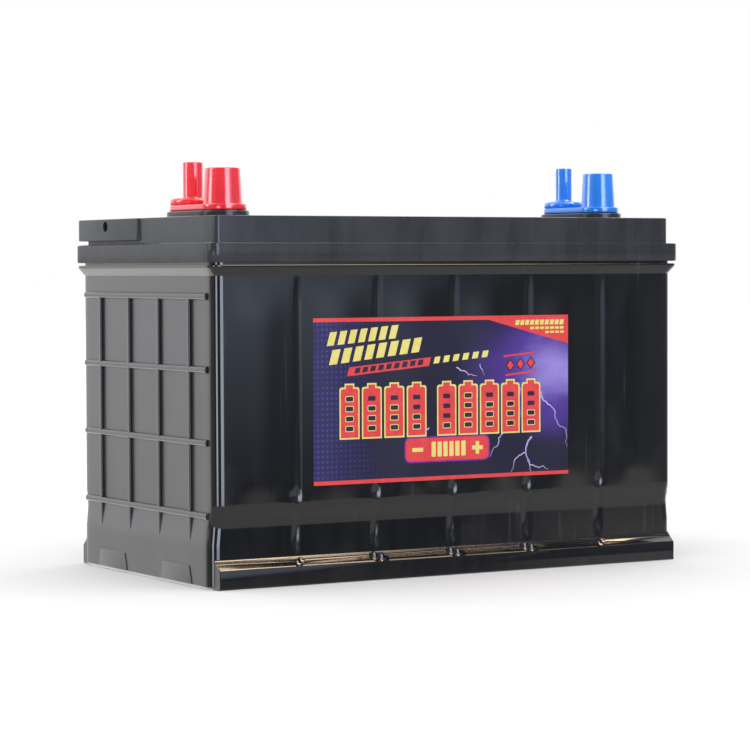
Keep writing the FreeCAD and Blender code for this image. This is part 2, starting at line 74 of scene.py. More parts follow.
# %% [markdown]
# Camera. A long lens, level with the rim of the case and turned a third of the way round the positive end.

# %% Camera
VIEW_TURN = radians(30.587)
VIEW_TILT = 0.0385
VIEW_ROLL = 0.0042
LENS = 134.25
EYE = (-0.82576, -1.39384, 0.17069)
camera_data = bpy.data.cameras.new("camera")
camera_data.lens = LENS
camera_data.sensor_width = 36.0
camera_data.clip_start = 0.05
camera = bpy.data.objects.new("camera", camera_data)
bpy.context.scene.collection.objects.link(camera)
camera.rotation_euler = (pi / 2 - VIEW_TILT, VIEW_ROLL, -VIEW_TURN)
camera.location = EYE
bpy.context.scene.camera = camera

# %% [markdown]
# Helpers for skins. A skin is a stack of closed loops with the same number of points, joined by quads. Flat ends
# are filled, with holes where a well or a cell opens. Edges that turn sharply are marked sharp, and all else is
# smooth.

# %% Loops and skins
def rounded_loop(half_x, half_y, radius, centre_x=0.0, sides=((), ()), arc=8):
    """Points and outward directions round a rectangle with round corners; sides lists the extra stops along
    the long sides (x from -1 to 1) and along the ends (y from -1 to 1)."""
    corners = [(-1, -1), (1, -1), (1, 1), (-1, 1)]
    loop = []
    for i, (sx, sy) in enumerate(corners):
        centre = Vector((centre_x + sx * (half_x - radius), sy * (half_y - radius)))
        for k in range(arc + 1):
            angle = pi + (i + k / arc) * pi / 2
            out = Vector((cos(angle), sin(angle)))
            loop.append((centre + radius * out, out))
        for t in sides[i % 2]:
            s = t if i < 2 else -t
            if i % 2 == 0:
                loop.append((Vector((centre_x + s * (half_x - radius), sy * half_y)), Vector((0, sy))))
            else:
                loop.append((Vector((centre_x + sx * half_x, s * (half_y - radius))), Vector((sx, 0))))
    return loop


def add_loop(bm, points):
    return [bm.verts.new(p) for p in points]


def bridge(bm, loops):
    """Joins each loop to the next with quads."""
    for first, second in zip(loops, loops[1:]):
        n = len(first)
        for i in range(n):
            bm.faces.new((first[i], first[(i + 1) % n], second[(i + 1) % n], second[i]))


def fill(bm, *loops):
    """A flat face inside the first loop, open at the others."""
    edges = []
    for loop in loops:
        for v, w in zip(loop, loop[1:] + loop[:1]):
            edges.append(bm.edges.get((v, w)) or bm.edges.new((v, w)))
    bmesh.ops.triangle_fill(bm, use_beauty=True, use_dissolve=False, edges=edges)


def circle(x, y, z, radius, count=48):
    turns = [2 * pi * k / count for k in range(count)]
    return [Vector((x + radius * cos(t), y + radius * sin(t), z)) for t in turns]


def stack(bm, loops, low=True, high=True):
    """Joins a list of loops of points and closes the two ends."""
    rows = [add_loop(bm, points) for points in loops]
    bridge(bm, rows)
    if low:
        bm.faces.new(rows[0][::-1])
    if high:
        bm.faces.new(rows[-1])
    return rows


def make_piece(name, bm, sharp_deg=32):
    bmesh.ops.recalc_face_normals(bm, faces=bm.faces)
    for face in bm.faces:
        face.smooth = True
    for edge in bm.edges:
        edge.smooth = len(edge.link_faces) == 2 and edge.calc_face_angle(0) < radians(sharp_deg)
    mesh = bpy.data.meshes.new(name)
    bm.to_mesh(mesh)
    bm.free()
    piece = bpy.data.objects.new(name, mesh)
    bpy.context.scene.collection.objects.link(piece)
    return piece


def solid(name, loops, sharp_deg=32):
    """A closed piece made of one stack of loops."""
    bm = bmesh.new()
    stack(bm, loops)
    return make_piece(name, bm, sharp_deg)


def settle(base, spent=()):
    """Replaces a piece's mesh by what its modifiers make of it, and removes the tools used."""
    bpy.context.view_layer.update()
    graph = bpy.context.evaluated_depsgraph_get()
    mesh = bpy.data.meshes.new_from_object(base.evaluated_get(graph))
    base.modifiers.clear()
    base.data = mesh
    for tool in spent:
        bpy.data.objects.remove(tool)
    return base


def carve(base, others, how):
    """Adds or cuts closed pieces with exact booleans and keeps the result as a plain mesh."""
    for other in others:
        step = base.modifiers.new("carve", "BOOLEAN")
        step.object = other
        step.operation = how
        step.solver = "EXACT"
    return settle(base, others)


def resharpen(piece, sharp_deg=32):
    bm = bmesh.new()
    bm.from_mesh(piece.data)
    bmesh.ops.remove_doubles(bm, verts=bm.verts, dist=1e-6)
    name = piece.name
    bpy.data.objects.remove(piece)
    return make_piece(name, bm, sharp_deg)


def paint(piece, material):
    piece.data.materials.clear()
    piece.data.materials.append(material)


# %% [markdown]
# Case walls. Each long wall covers six cells. A moulded wall sinks a little where an inner partition joins it,
# and bulges between them, and this is what draws the upright lines on a glossy battery. So the wall is a fine
# grid pushed in and out by a formula, with stops close together at each partition.

# %% Wall shape
CREASE_DEPTH = 0.24 * MM
CREASE_HALF = 1.9 * MM
BULGE = 0.42 * MM
WAVE_DEPTH, WAVE_LONG, WAVE_TALL = 0.035 * MM, 16 * MM, 110 * MM
LEDGE_TOP = 15.4 * MM
STEP_LOW = 32.5 * MM
STEP_HIGH = 44.8 * MM
SKIRT_TOP = 23.6 * MM
FLARE_TOP = 40.2 * MM
RIM_LOW = 166.5 * MM
RIM_LIP = 170.8 * MM
RIM_TOP = 172.3 * MM
RIM_OUT = 2.8 * MM


def ease(value, low, high):
    t = min(max((value - low) / (high - low), 0.0), 1.0)
    return t * t * (3 - 2 * t)


def half_x_at(z):
    return SKIRT_X + (WALL_X - SKIRT_X) * min(max((z - SKIRT_TOP) / (FLARE_TOP - SKIRT_TOP), 0.0), 1.0)


def half_y_at(z):
    return LOWER_WALL_Y + (WALL_Y - LOWER_WALL_Y) * ease(z, STEP_LOW, STEP_HIGH)


def wall_bulge(x, z, side):
    """The slow part of a long wall's shape: each cell stands out a little, and the surface wanders."""
    height = ease(z, STEP_LOW, STEP_HIGH + 14 * MM) * (1 - ease(z, RIM_LOW - 26 * MM, RIM_LOW - 1 * MM))
    crown = 0.5 - 0.5 * cos(2 * pi * x / CELL_PITCH)
    wave = noise.noise(Vector((x / WAVE_LONG, side * 3.7, z / WAVE_TALL)))
    return BULGE * height * crown * (abs(x) < 3 * CELL_PITCH) + WAVE_DEPTH * wave * height


def dent(x, z, centre_x, centre_z, half_x, half_z, depth):
    return depth * exp(-(((x - centre_x) / half_x) ** 2 + ((z - centre_z) / half_z) ** 2) ** 1.5)


def wall_push(x, z, side):
    """How far a long wall stands out at x, z: bulge, sunk partition lines, and drops above and below the step."""
    push = wall_bulge(x, z, side)
    tall = ease(z, LEDGE_TOP, LEDGE_TOP + 8 * MM) * (1 - ease(z, RIM_LOW - 8 * MM, RIM_LOW))
    for line in PARTITION_X:
        push -= CREASE_DEPTH * exp(-((x - line) / CREASE_HALF) ** 2) * tall
        push -= dent(x, z, line - 1.5 * MM, STEP_HIGH + 3.2 * MM, 1.8 * MM, 3.2 * MM, 0.42 * MM)
        push -= dent(x, z, line - 1.3 * MM, STEP_LOW - 6 * MM, 1.5 * MM, 5.0 * MM, 0.22 * MM)
    return push


# %% Case stops and levels
def close_stops(lines, half, wide, fine, reach):
    """Stops from -1 to 1 that crowd together within reach of each line."""
    stops, x = [], -half
    while x < half - 0.2 * MM:
        x += fine if min(abs(x - line) for line in lines) < reach else wide
        if x < half - 0.2 * MM:
            stops.append(x / half)
    return stops


wall_stops = close_stops(PARTITION_X, WALL_X - CORNER_R, 3.2 * MM, 0.55 * MM, 5.5 * MM)
end_stops = [k / 20 for k in range(-19, 20)]
foot = [(0, -1.5), (0.35, -0.9), (0.9, -0.35), (1.5, 0)]
heights = [5, *range(9, 21), 21.5, 23.6, 26, 29, 31]
heights += [31.5 + 0.8 * k for k in range(30)] + [57 + 5.6 * k for k in range(20)]
levels = [(z * MM, out * MM) for z, out in foot] + [(z * MM, 0.0) for z in heights]
levels += [(RIM_LOW + t * (RIM_LIP - RIM_LOW), t * RIM_OUT) for t in (0, 0.08, 0.92)]
lip = ((0, -0.05), (0.25, 0), (1.2, 0), (1.45, -0.15), (1.5, -0.4))
levels += [(RIM_LIP + up * MM, RIM_OUT + out * MM) for up, out in lip]
levels += [(RIM_TOP, 0.1 * MM), (RIM_TOP + 0.1 * MM, 0.0), (WALL_TOP, 0.0)]
print("stops", len(wall_stops), "levels", len(levels))

# %% [markdown]
# The case is one closed skin: outside, top edge, the six cells down to their floor, and the base. The flat top
# face is filled with the cell mouths left open.

# %% Case skin
def case_row(z, out):
    points = []
    for flat, way in rounded_loop(half_x_at(z) + out, half_y_at(z) + out, CORNER_R, sides=(wall_stops, end_stops)):
        point = Vector((flat.x, flat.y, z))
        if way.x == 0 and LEDGE_TOP < z < RIM_LOW:
            side = copysign(1, way.y)
            point.y += side * wall_push(flat.x, z, side)
        points.append(point)
    return points


def box_loop(x0, x1, y0, y1, z):
    return [Vector((x, y, z)) for x, y in ((x0, y0), (x1, y0), (x1, y1), (x0, y1))]


bm = bmesh.new()
rows = stack(bm, [case_row(z, out) for z, out in levels], high=False)
mouths = []
for x in CELL_X:
    depths = [(WALL_TOP, 80.0), (STEP_HIGH + MM, 80.0), (STEP_HIGH, 77.2), (3 * MM, 77.2)]
    loops = [add_loop(bm, box_loop(x - CELL_HALF, x + CELL_HALF, -y * MM, y * MM, z)) for z, y in depths]
    bridge(bm, loops)
    bm.faces.new(loops[-1])
    mouths.append(loops[0])
fill(bm, rows[-1], *mouths)
case_skin = make_piece("case_shell", bm, 28)
print("case faces", len(case_skin.data.polygons))

# %% [markdown]
# Hold-down ledges. A straight rail with a sloping top, where a clamp holds the battery down. Core pins of the
# mould left round pockets in it at three partitions and shallow nicks at the other two. Round tools cut them with
# a boolean, which keeps their rims crisp.

# %% Ledges
def ball(place, radius, count=40):
    """A closed round tool: rings between two single points."""
    bm = bmesh.new()
    rings = []
    for k in range(1, count // 2):
        angle = pi * k / (count // 2)
        ring = circle(place.x, place.y, place.z - radius * cos(angle), radius * sin(angle), count)
        rings.append(add_loop(bm, ring))
    bridge(bm, rings)
    for ring, z in ((rings[0], -radius), (rings[-1], radius)):
        pole = bm.verts.new(place + Vector((0, 0, z)))
        for i, v in enumerate(ring):
            bm.faces.new((v, ring[(i + 1) % len(ring)], pole))
    return make_piece("tool", bm)


def ledge_outline():
    """Across the rail, from its inner foot round the face and up the slope: (y, z) in millimetres."""
    face, inner = LEDGE_Y / MM, LOWER_WALL_Y / MM - 2
    rim = [(1.0, 0), (0.3, 0.25), (0, 0.9), (0, 5), (0, 10.2), (0.08, 10.5), (0.25, 10.75), (0.5, 11.0),
           (0.7, 11.15), (3.75, 13.44), (3.95, 13.62), (4.1, 13.9), (4.2, 14.15), (4.4, 14.32), (5.3, 14.99),
           (5.5, 15.17), (5.75, 15.45), (5.9, 15.9)]
    return [(inner, 0)] + [(face - inset, z) for inset, z in rim] + [(inner, 16.1)]


def ledge(side):
    half, trim = 148.5 * MM, 0.3
    loops = []
    for x, cut in ((-half, trim), (-half + trim * MM, 0), (0, 0), (half - trim * MM, 0), (half, trim)):
        loops.append([Vector((x, side * (y - cut * (y > 84)) * MM, z * MM)) for y, z in ledge_outline()])
    return solid("case_ledge_front" if side < 0 else "case_ledge_back", loops, 22)


# along the rail, out, up and radius of each round tool
POCKETS = ((-2.3, 84.6, 14.6, 4.4), (2.1, 84.9, 13.6, 4.3))
NICKS = ((-1.7, 88.3, 16.6, 6.7), (1.4, 86.9, 18.0, 6.9))


def tools_at(lines, side, balls):
    spots = [(x + shift * MM, side * y * MM, z * MM, r * MM) for x in lines for shift, y, z, r in balls]
    return [ball(Vector(spot[:3]), spot[3]) for spot in spots]


ledges = []
for side in (-1, 1):
    tools = tools_at(PARTITION_X[1:-1], side, POCKETS) + tools_at(PARTITION_X[::CELLS - 2], side, NICKS)
    ledges.append(resharpen(carve(ledge(side), tools, "DIFFERENCE"), 22))
    case_skin = carve(case_skin, tools_at(PARTITION_X[1:-1], side, POCKETS), "DIFFERENCE")
case_skin = resharpen(case_skin, 28)
print("ledge faces", [len(piece.data.polygons) for piece in ledges])

# %% [markdown]
# Node trees. Geometry trees and materials are wired in the same way, so one small class serves both. An input is
# named as in Blender, with _ for a space, and takes a plain value or another node's output.

# %% Graph
class Graph:
    def __init__(self, tree):
        self.tree = tree

    def feed(self, socket, value):
        if isinstance(value, bpy.types.NodeSocket):
            self.tree.links.new(value, socket)
        else:
            socket.default_value = (*value, 1) if socket.type == "RGBA" else value

    def add(self, kind, settings=(), **inputs):
        """Adds a node of a kind, with its settings and its inputs."""
        node = self.tree.nodes.new(kind)
        for key, value in dict(settings).items():
            setattr(node, key, value)
        for key, value in inputs.items():
            self.feed(node.inputs[key.replace("_", " ")], value)
        return node

    def out(self, kind, settings=(), **inputs):
        return self.add(kind, settings, **inputs).outputs[0]

    def maths(self, how, *values):
        node = self.add("ShaderNodeMath", {"operation": how})
        for socket, value in zip(node.inputs, values):
            self.feed(socket, value)
        return node.outputs[0]

    def times(self, a, b):
        return self.maths("MULTIPLY", a, b)

    def noise(self, vector, scale, detail=3.0, roughness=0.5):
        return self.out("ShaderNodeTexNoise", Vector=vector, Scale=scale, Detail=detail, Roughness=roughness)

    def remap(self, value, low, high, start=0.0, end=1.0, how="LINEAR"):
        return self.out("ShaderNodeMapRange", {"interpolation_type": how}, Value=value, From_Min=low, From_Max=high,
                        To_Min=start, To_Max=end)

    def rise(self, value, low, high, start=0.0, end=1.0):
        """Goes smoothly from start to end while the value goes from low to high."""
        return self.remap(value, low, high, start, end, "SMOOTHSTEP")

    def stretched(self, vector, scale):
        return self.out("ShaderNodeMapping", Vector=vector, Scale=scale)

    def split(self, vector):
        return self.add("ShaderNodeSeparateXYZ", Vector=vector).outputs

    def mix(self, factor, a, b):
        """Mixes two colours, found by identifier because the node's names repeat."""
        node = self.add("ShaderNodeMix", {"data_type": "RGBA", "clamp_factor": True})
        sockets = {s.identifier: s for s in (*node.inputs, *node.outputs)}
        for key, value in (("Factor_Float", factor), ("A_Color", a), ("B_Color", b)):
            self.feed(sockets[key], value)
        return sockets["Result_Color"]


# %% [markdown]
# End ribs. What repeats is left to Geometry Nodes: one bar is instanced up each end wall and one upright across
# it. The tree takes the counts and pitches as inputs, so a different case needs only other numbers.

# %% Upright rib
BAR_PITCH = 38.9 * MM
BAR_COUNT = 4
BAR_HEIGHT = 3.7 * MM
BAR_DEPTH = 5.0 * MM
BAR_SOFT = 1.5 * MM
BAR_FACE = 151.4 * MM
BAR_HALF = 75.6 * MM
RIB_COUNT = 4
RIB_PITCH = 37.0 * MM
RIB_TOP = BAR_COUNT * BAR_PITCH


def upright_rib():
    """One rib at the +X end, centred on y = 0: straight sides, soft edges, a foot that sinks into the skirt."""
    loops = []
    for z, face in ((18, 150.95), (23.6, 151.0), (28, 151.05), (33, 151.12), (37.5, 151.18), (45, 151.2),
                    (RIB_TOP / MM, 151.2)):
        half = [(148.6, 1.32), (face - 0.5, 1.30), (face - 0.22, 1.24), (face - 0.06, 1.06), (face, 0.8), (face, 0)]
        ring = [(x, -y) for x, y in half] + half[-2::-1]
        loops.append([Vector((x * MM, y * MM, z * MM)) for x, y in ring])
    return solid("upright_rib", loops, 40)


# %% Rib tree
def rib_tree():
    tree = bpy.data.node_groups.new("end_ribs", "GeometryNodeTree")
    kinds = {"Geometry": "Geometry", "Bars": "Int", "Uprights": "Int", "Upright": "Object", "Material": "Material"}
    for name in ("Geometry", "Bars", "Bar pitch", "Bar length", "Bar height", "Bar depth", "Bar face", "Uprights",
                 "Upright pitch", "Upright", "Material"):
        tree.interface.new_socket(name, in_out="INPUT", socket_type="NodeSocket" + kinds.get(name, "Float"))
    tree.interface.new_socket("Geometry", in_out="OUTPUT", socket_type="NodeSocketGeometry")
    g = Graph(tree)
    given = g.add("NodeGroupInput").outputs
    vector = "ShaderNodeCombineXYZ"

    outline = g.out("GeometryNodeCurvePrimitiveQuadrilateral", Width=given["Bar depth"], Height=given["Bar height"])
    soft = g.out("GeometryNodeFilletCurve", {"mode": "POLY"}, Curve=outline, Count=6, Limit_Radius=True,
                 Radius=BAR_SOFT)
    start, end = (g.out(vector, Y=g.times(given["Bar length"], share)) for share in (-0.5, 0.5))
    line = g.out("GeometryNodeCurvePrimitiveLine", Start=start, End=end)
    bar = g.out("GeometryNodeCurveToMesh", Curve=line, Profile_Curve=soft, Fill_Caps=True)
    reach = g.maths("MULTIPLY_ADD", given["Bar depth"], -0.5, given["Bar face"])
    first, step = g.out(vector, X=reach, Z=given["Bar pitch"]), g.out(vector, Z=given["Bar pitch"])
    heights = g.out("GeometryNodeMeshLine", {"mode": "OFFSET"}, Count=given["Bars"], Start_Location=first,
                    Offset=step)
    bars = g.out("GeometryNodeInstanceOnPoints", Points=heights, Instance=bar)

    edge = g.times(given["Upright pitch"], (1 - RIB_COUNT) / 2)
    across = g.out("GeometryNodeMeshLine", {"mode": "OFFSET"}, Count=given["Uprights"],
                   Start_Location=g.out(vector, Y=edge), Offset=g.out(vector, Y=given["Upright pitch"]))
    pattern = g.add("GeometryNodeObjectInfo", {"transform_space": "ORIGINAL"}, Object=given["Upright"])
    uprights = g.out("GeometryNodeInstanceOnPoints", Points=across, Instance=pattern.outputs["Geometry"])

    both = g.add("GeometryNodeJoinGeometry", Geometry=bars)
    g.feed(both.inputs["Geometry"], uprights)
    real = g.out("GeometryNodeRealizeInstances", Geometry=both.outputs["Geometry"])
    painted = g.out("GeometryNodeSetMaterial", Geometry=real, Material=given["Material"])
    g.add("NodeGroupOutput", Geometry=painted)
    return tree


def set_inputs(modifier, values):
    for item in modifier.node_group.interface.items_tree:
        if item.item_type == "SOCKET" and item.in_out == "INPUT" and item.name in values:
            modifier[item.identifier] = values[item.name]


# %% [markdown]
# Shared effects. Three node groups serve every plastic on the battery: fine moulding grain, handling scuffs and
# dust. Each puts out plain values, so the shader itself, with its fixed numbers, stays in the material.

# %% Shared effect groups
def new_group(name, inputs, outputs):
    """A shader group; an input without a value is a vector, and all else is a number."""
    tree = bpy.data.node_groups.new(name, "ShaderNodeTree")
    for label, value in inputs.items():
        kind = "NodeSocketVector" if value is None else "NodeSocketFloat"
        socket = tree.interface.new_socket(label, in_out="INPUT", socket_type=kind)
        if value is not None:
            socket.default_value = value
    for label in outputs:
        tree.interface.new_socket(label, in_out="OUTPUT", socket_type="NodeSocketFloat")
    g = Graph(tree)
    return g, g.add("NodeGroupInput").outputs


def grain_group():
    """Fine spark-eroded grain of a mould: a height that goes into Bump."""
    g, given = new_group("mould_grain", {"Vector": None, "Size": 900.0}, ["Height"])
    fine = g.noise(given["Vector"], given["Size"], 2.0, 0.6)
    broad = g.noise(given["Vector"], 60.0, 2.0)
    g.add("NodeGroupOutput", Height=g.maths("MULTIPLY_ADD", broad, 0.6, fine))
    return g.tree


def scuff_group():
    """Handling marks: thin scratches in two leanings and soft rubbed patches, as a 0 to 1 mask."""
    g, given = new_group("handling_scuffs", {"Vector": None, "Amount": 0.5}, ["Mask", "Scratch"])
    place, amount = given["Vector"], given["Amount"]
    masks = []
    for lean, scale in ((0.12, 260.0), (-0.35, 190.0)):
        turned = g.out("ShaderNodeMapping", Vector=place, Scale=(1.0, 1.0, 0.045),
                       Rotation=(lean * 0.3, lean, lean))
        masks.append(g.remap(g.noise(turned, scale, 1.0), 0.70, 0.78))
    where = g.rise(g.noise(place, 17.0, 3.0), 0.46, 0.66)
    scratch = g.times(g.maths("MAXIMUM", *masks), where)
    rubbed = g.rise(g.noise(place, 34.0, 6.0, 0.62), 0.48, 0.72, 0.0, 0.8)
    g.add("NodeGroupOutput", Mask=g.times(g.maths("ADD", scratch, rubbed), amount),
          Scratch=g.times(scratch, amount))
    return g.tree


def dust_group():
    """Fine dust specks and a thin film, as a 0 to 1 mask."""
    g, given = new_group("fine_dust", {"Vector": None, "Amount": 0.5}, ["Mask"])
    place = given["Vector"]
    speck = g.out("ShaderNodeTexVoronoi", {"feature": "F1"}, Vector=place, Scale=420.0, Randomness=1.0)
    dots = g.remap(speck, 0.02, 0.09, 1.0, 0.0)
    patch = g.rise(g.noise(place, 45.0, 4.0), 0.5, 0.75)
    film = g.remap(g.noise(place, 12.0, 5.0, 0.6), 0.4, 0.8, 0.0, 0.25)
    g.add("NodeGroupOutput", Mask=g.times(g.maths("MULTIPLY_ADD", dots, patch, film), given["Amount"]))
    return g.tree


GRAIN, SCUFFS, DUST = grain_group(), scuff_group(), dust_group()


# %% Finish
class Finish(Graph):
    """A material and its Principled shader, with the patterns on Object coordinates."""

    def __init__(self, name, **fixed):
        self.material = bpy.data.materials.new(name)
        self.material.use_nodes = True
        super().__init__(self.material.node_tree)
        self.coordinates = self.add("ShaderNodeTexCoord").outputs
        self.place = self.coordinates["Object"]
        self.shade(**fixed)

    def shade(self, **inputs):
        for key, value in inputs.items():
            self.feed(self.tree.nodes["Principled BSDF"].inputs[key.replace("_", " ")], value)

    def effect(self, tree, **values):
        """Places a shared effect on the piece's own coordinates and returns its outputs."""
        return self.add("ShaderNodeGroup", {"node_tree": tree}, Vector=self.place, **values).outputs

    def bump(self, height, strength, distance):
        self.shade(Normal=self.out("ShaderNodeBump", Height=height, Strength=strength, Distance=distance))

    def rubbed(self, amount, dulling, rough):
        """Sets the roughness, duller where handling rubbed it, and returns the scratches."""
        scuffs = self.effect(SCUFFS, Amount=amount)
        self.shade(Roughness=self.maths("MULTIPLY_ADD", scuffs["Mask"], dulling, rough))
        return scuffs["Scratch"]

    def dusted(self, colour, amount, share, dust):
        mask = self.effect(DUST, Amount=amount)["Mask"]
        return self.mix(self.times(mask, share), colour, dust)


# %% [markdown]
# Case plastic. The same polypropylene is polished on the long walls and dull on the ribbed ends, because the
# mould was polished only where the label goes. A mask on the way a face looks turns one finish into the other.
# The same mask also paints the dull faces a lighter grey than the walls. This grey is painted sheen for the light
# they catch.

# %% Case plastic
def case_plastic():
    f = Finish("case_plastic")
    satin_and_sheen = f.rise(f.maths("ABSOLUTE", f.split(f.coordinates["Normal"])["Y"]), 0.16, 0.40, 1.0, 0.0)
    scuffs = f.effect(SCUFFS, Amount=0.55)
    drawn = f.noise(f.stretched(f.place, (1.0, 1.0, 0.06)), 140.0, 4.0, 0.55)
    gloss = f.maths("MULTIPLY_ADD", scuffs["Mask"], 0.14, f.remap(drawn, 0.3, 0.7, 0.055, 0.10))
    cloud = f.noise(f.stretched(f.place, (1.0, 1.0, 0.35)), 28.0, 5.0, 0.6)
    dull = f.remap(cloud, 0.3, 0.7, 0.27, 0.36)
    f.shade(Roughness=f.out("ShaderNodeMix", {"data_type": "FLOAT"}, Factor=satin_and_sheen, A=gloss, B=dull))
    # Painted sheen: faces turned away from the long walls get a lighter grey than the black walls, for the light
    # they catch.
    ends = f.mix(f.rise(cloud, 0.38, 0.62), (0.017, 0.017, 0.018), (0.032, 0.032, 0.033))
    colour = f.mix(satin_and_sheen, (0.0020, 0.0021, 0.0027), ends)
    colour = f.mix(f.times(cloud, 0.15), colour, (0.008, 0.0085, 0.0105))
    colour = f.dusted(colour, 0.18, 0.22, (0.30, 0.30, 0.31))
    f.shade(Base_Color=f.mix(f.times(scuffs["Scratch"], 0.30), colour, (0.11, 0.12, 0.14)))
    grain = f.effect(GRAIN, Size=1400.0)["Height"]
    height = f.times(grain, f.maths("MULTIPLY_ADD", satin_and_sheen, 0.85, 0.05))
    f.bump(f.maths("SUBTRACT", height, f.times(scuffs["Scratch"], 0.2)), 0.35, 0.02 * MM)
    return f.material


CASE_PLASTIC = case_plastic()


# %% Satin plastics for the lid and the plugs
def satin_plastic(name, dark, light, rough, grain_size, grain_strength, shine=0.5, coat=0.0):
    """Satin plastic; coat is a polish that the flat end walls lack, so that only edges and long sides gleam."""
    f = Finish(name, Specular_IOR_Level=shine, Coat_Roughness=0.14)
    endways = f.maths("ABSOLUTE", f.split(f.coordinates["Normal"])["X"])
    f.shade(Coat_Weight=f.rise(endways, 0.80, 0.97, coat, 0.0))
    cloud = f.noise(f.stretched(f.place, (1.0, 1.0, 0.3)), 75.0, 4.0, 0.55)
    scratch = f.rubbed(0.35, 0.10, f.remap(cloud, 0.3, 0.7, *rough))
    colour = f.dusted(f.mix(f.rise(cloud, 0.36, 0.64), dark, light), 0.2, 0.25, (0.35, 0.35, 0.34))
    f.shade(Base_Color=f.mix(f.times(scratch, 0.35), colour, (0.15, 0.16, 0.18)))
    grain = f.effect(GRAIN, Size=grain_size)["Height"]
    f.bump(f.maths("SUBTRACT", grain, f.times(scratch, 0.4)), grain_strength, 0.03 * MM)
    return f.material


LID_PLASTIC = satin_plastic("lid_plastic", (0.0175, 0.0190, 0.0235), (0.0255, 0.0270, 0.0330), (0.24, 0.34),
                            1100.0, 0.25, shine=0.12, coat=0.3)
PLUG_PLASTIC = satin_plastic("plug_plastic", (0.022, 0.022, 0.024), (0.034, 0.034, 0.036), (0.36, 0.48),
                             1500.0, 0.35)

# %% [markdown]
# The two rib sets are made now that their material exists. Each end uses the same tree, and the -X end is its
# mirror.

# %% End ribs
def end_ribs(side, tree, upright):
    name = "case_ribs_positive_end" if side < 0 else "case_ribs_negative_end"
    piece = make_piece(name, bmesh.new())
    ribs = piece.modifiers.new("ribs", "NODES")
    ribs.node_group = tree
    set_inputs(ribs, {"Bars": BAR_COUNT, "Bar pitch": BAR_PITCH, "Bar length": 2 * BAR_HALF,
                      "Bar height": BAR_HEIGHT, "Bar depth": BAR_DEPTH, "Bar face": BAR_FACE, "Uprights": RIB_COUNT,
                      "Upright pitch": RIB_PITCH, "Upright": upright, "Material": CASE_PLASTIC})
    settle(piece)
    if side < 0:
        for v in piece.data.vertices:
            v.co.x = -v.co.x
        piece.data.flip_normals()
    return piece


upright = upright_rib()
ribs_tree = rib_tree()
rib_sets = [end_ribs(side, ribs_tree, upright) for side in (-1, 1)]
bpy.data.objects.remove(upright)


def foot_pads():
    """Two shallow raised pads at the foot of each end wall."""
    bm = bmesh.new()
    for side in (-1, 1):
        for y in (-40, 40):
            loops = []
            for out, trim in ((-0.6, 0.0), (0.25, 0.1), (0.4, 0.25), (0.45, 0.5)):
                x, low, high = side * (SKIRT_X + out * MM), 19 - trim, 16 - trim
                shape = [(y - low, 1.6), (y + low, 1.6), (y + high, 11.3 - trim), (y - high, 11.3 - trim)]
                loops.append([Vector((x, py * MM, pz * MM)) for py, pz in shape])
            stack(bm, loops)
    return make_piece("case_foot_pads", bm, 25)


pads = foot_pads()
for piece in [case_skin, pads] + ledges:
    piece.data.materials.append(CASE_PLASTIC)
for piece in [case_skin, pads] + ledges + rib_sets:
    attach(piece, "case")
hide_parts("container")
print("rib faces", [len(p.data.polygons) for p in rib_sets])

# %% [markdown]
# Lid. A flange that hangs over the case, a block on top of it, six wells for the vent plugs, a raised pad under
# each terminal and a boss with the vent outlet. The flange and the block are one skin, so the step between them
# is clean.

# %% Lid sizes
FLANGE_LOW, FLANGE_HIGH = lid_low.z + 10.7 * MM, 183.9 * MM
SEAT = FLANGE_LOW + 1.9 * MM
LID_TOP = lid_high.z - 3.3 * MM
BLOCK_X = (-149.8 * MM, 145.2 * MM)
BLOCK_Y = 85.0 * MM
BLOCK_MID, BLOCK_HALF = (BLOCK_X[0] + BLOCK_X[1]) / 2, (BLOCK_X[1] - BLOCK_X[0]) / 2
PLUG_Y = (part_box("vent_plug_1")[0].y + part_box("vent_plug_1")[1].y) / 2
WELL_R, BORE_R, TUBE_R = 13.5 * MM, 9.0 * MM, 12.0 * MM
WELL_OUT_R = WELL_R + 1.4 * MM
WELL_FLOOR = 192.7 * MM
TUBE_FOOT, TUBE_TOP = 163 * MM, 186 * MM
CEILING = LID_TOP - 3 * MM
print("lid flange", FLANGE_LOW, FLANGE_HIGH, "top", LID_TOP)


# %% Lid skin
def lid_row(half_x, half_y, radius, z, centre=0.0, ridge=0.0):
    points = []
    for flat, way in rounded_loop(half_x, half_y, radius, centre, (lid_stops, end_stops[::3])):
        if way.x == 0 and ridge:
            nearest = min(abs(flat.x - line) for line in PARTITION_X)
            flat.y += copysign(ridge * exp(-(nearest / (1.6 * MM)) ** 2), way.y)
        points.append(Vector((flat.x, flat.y, z)))
    return points


lid_stops = close_stops(PARTITION_X, WALL_X - CORNER_R, 8 * MM, 0.9 * MM, 4 * MM)
seat = (WALL_X + 0.2 * MM, WALL_Y + 0.2 * MM, CORNER_R)
rows = [(*seat, SEAT), (*seat, FLANGE_LOW)]
# inset from the flange's side, corner radius and height
for inset, radius, z in ((0.5, 5, FLANGE_LOW), (0.15, 5, FLANGE_LOW + 0.15 * MM), (0, 5, FLANGE_LOW + 0.5 * MM),
                         (0, 5, FLANGE_HIGH - 0.7 * MM), (0.2, 5, FLANGE_HIGH - 0.2 * MM), (0.7, 4.6, FLANGE_HIGH)):
    rows.append((lid_high.x - inset * MM, lid_high.y - inset * MM, radius * MM, z))
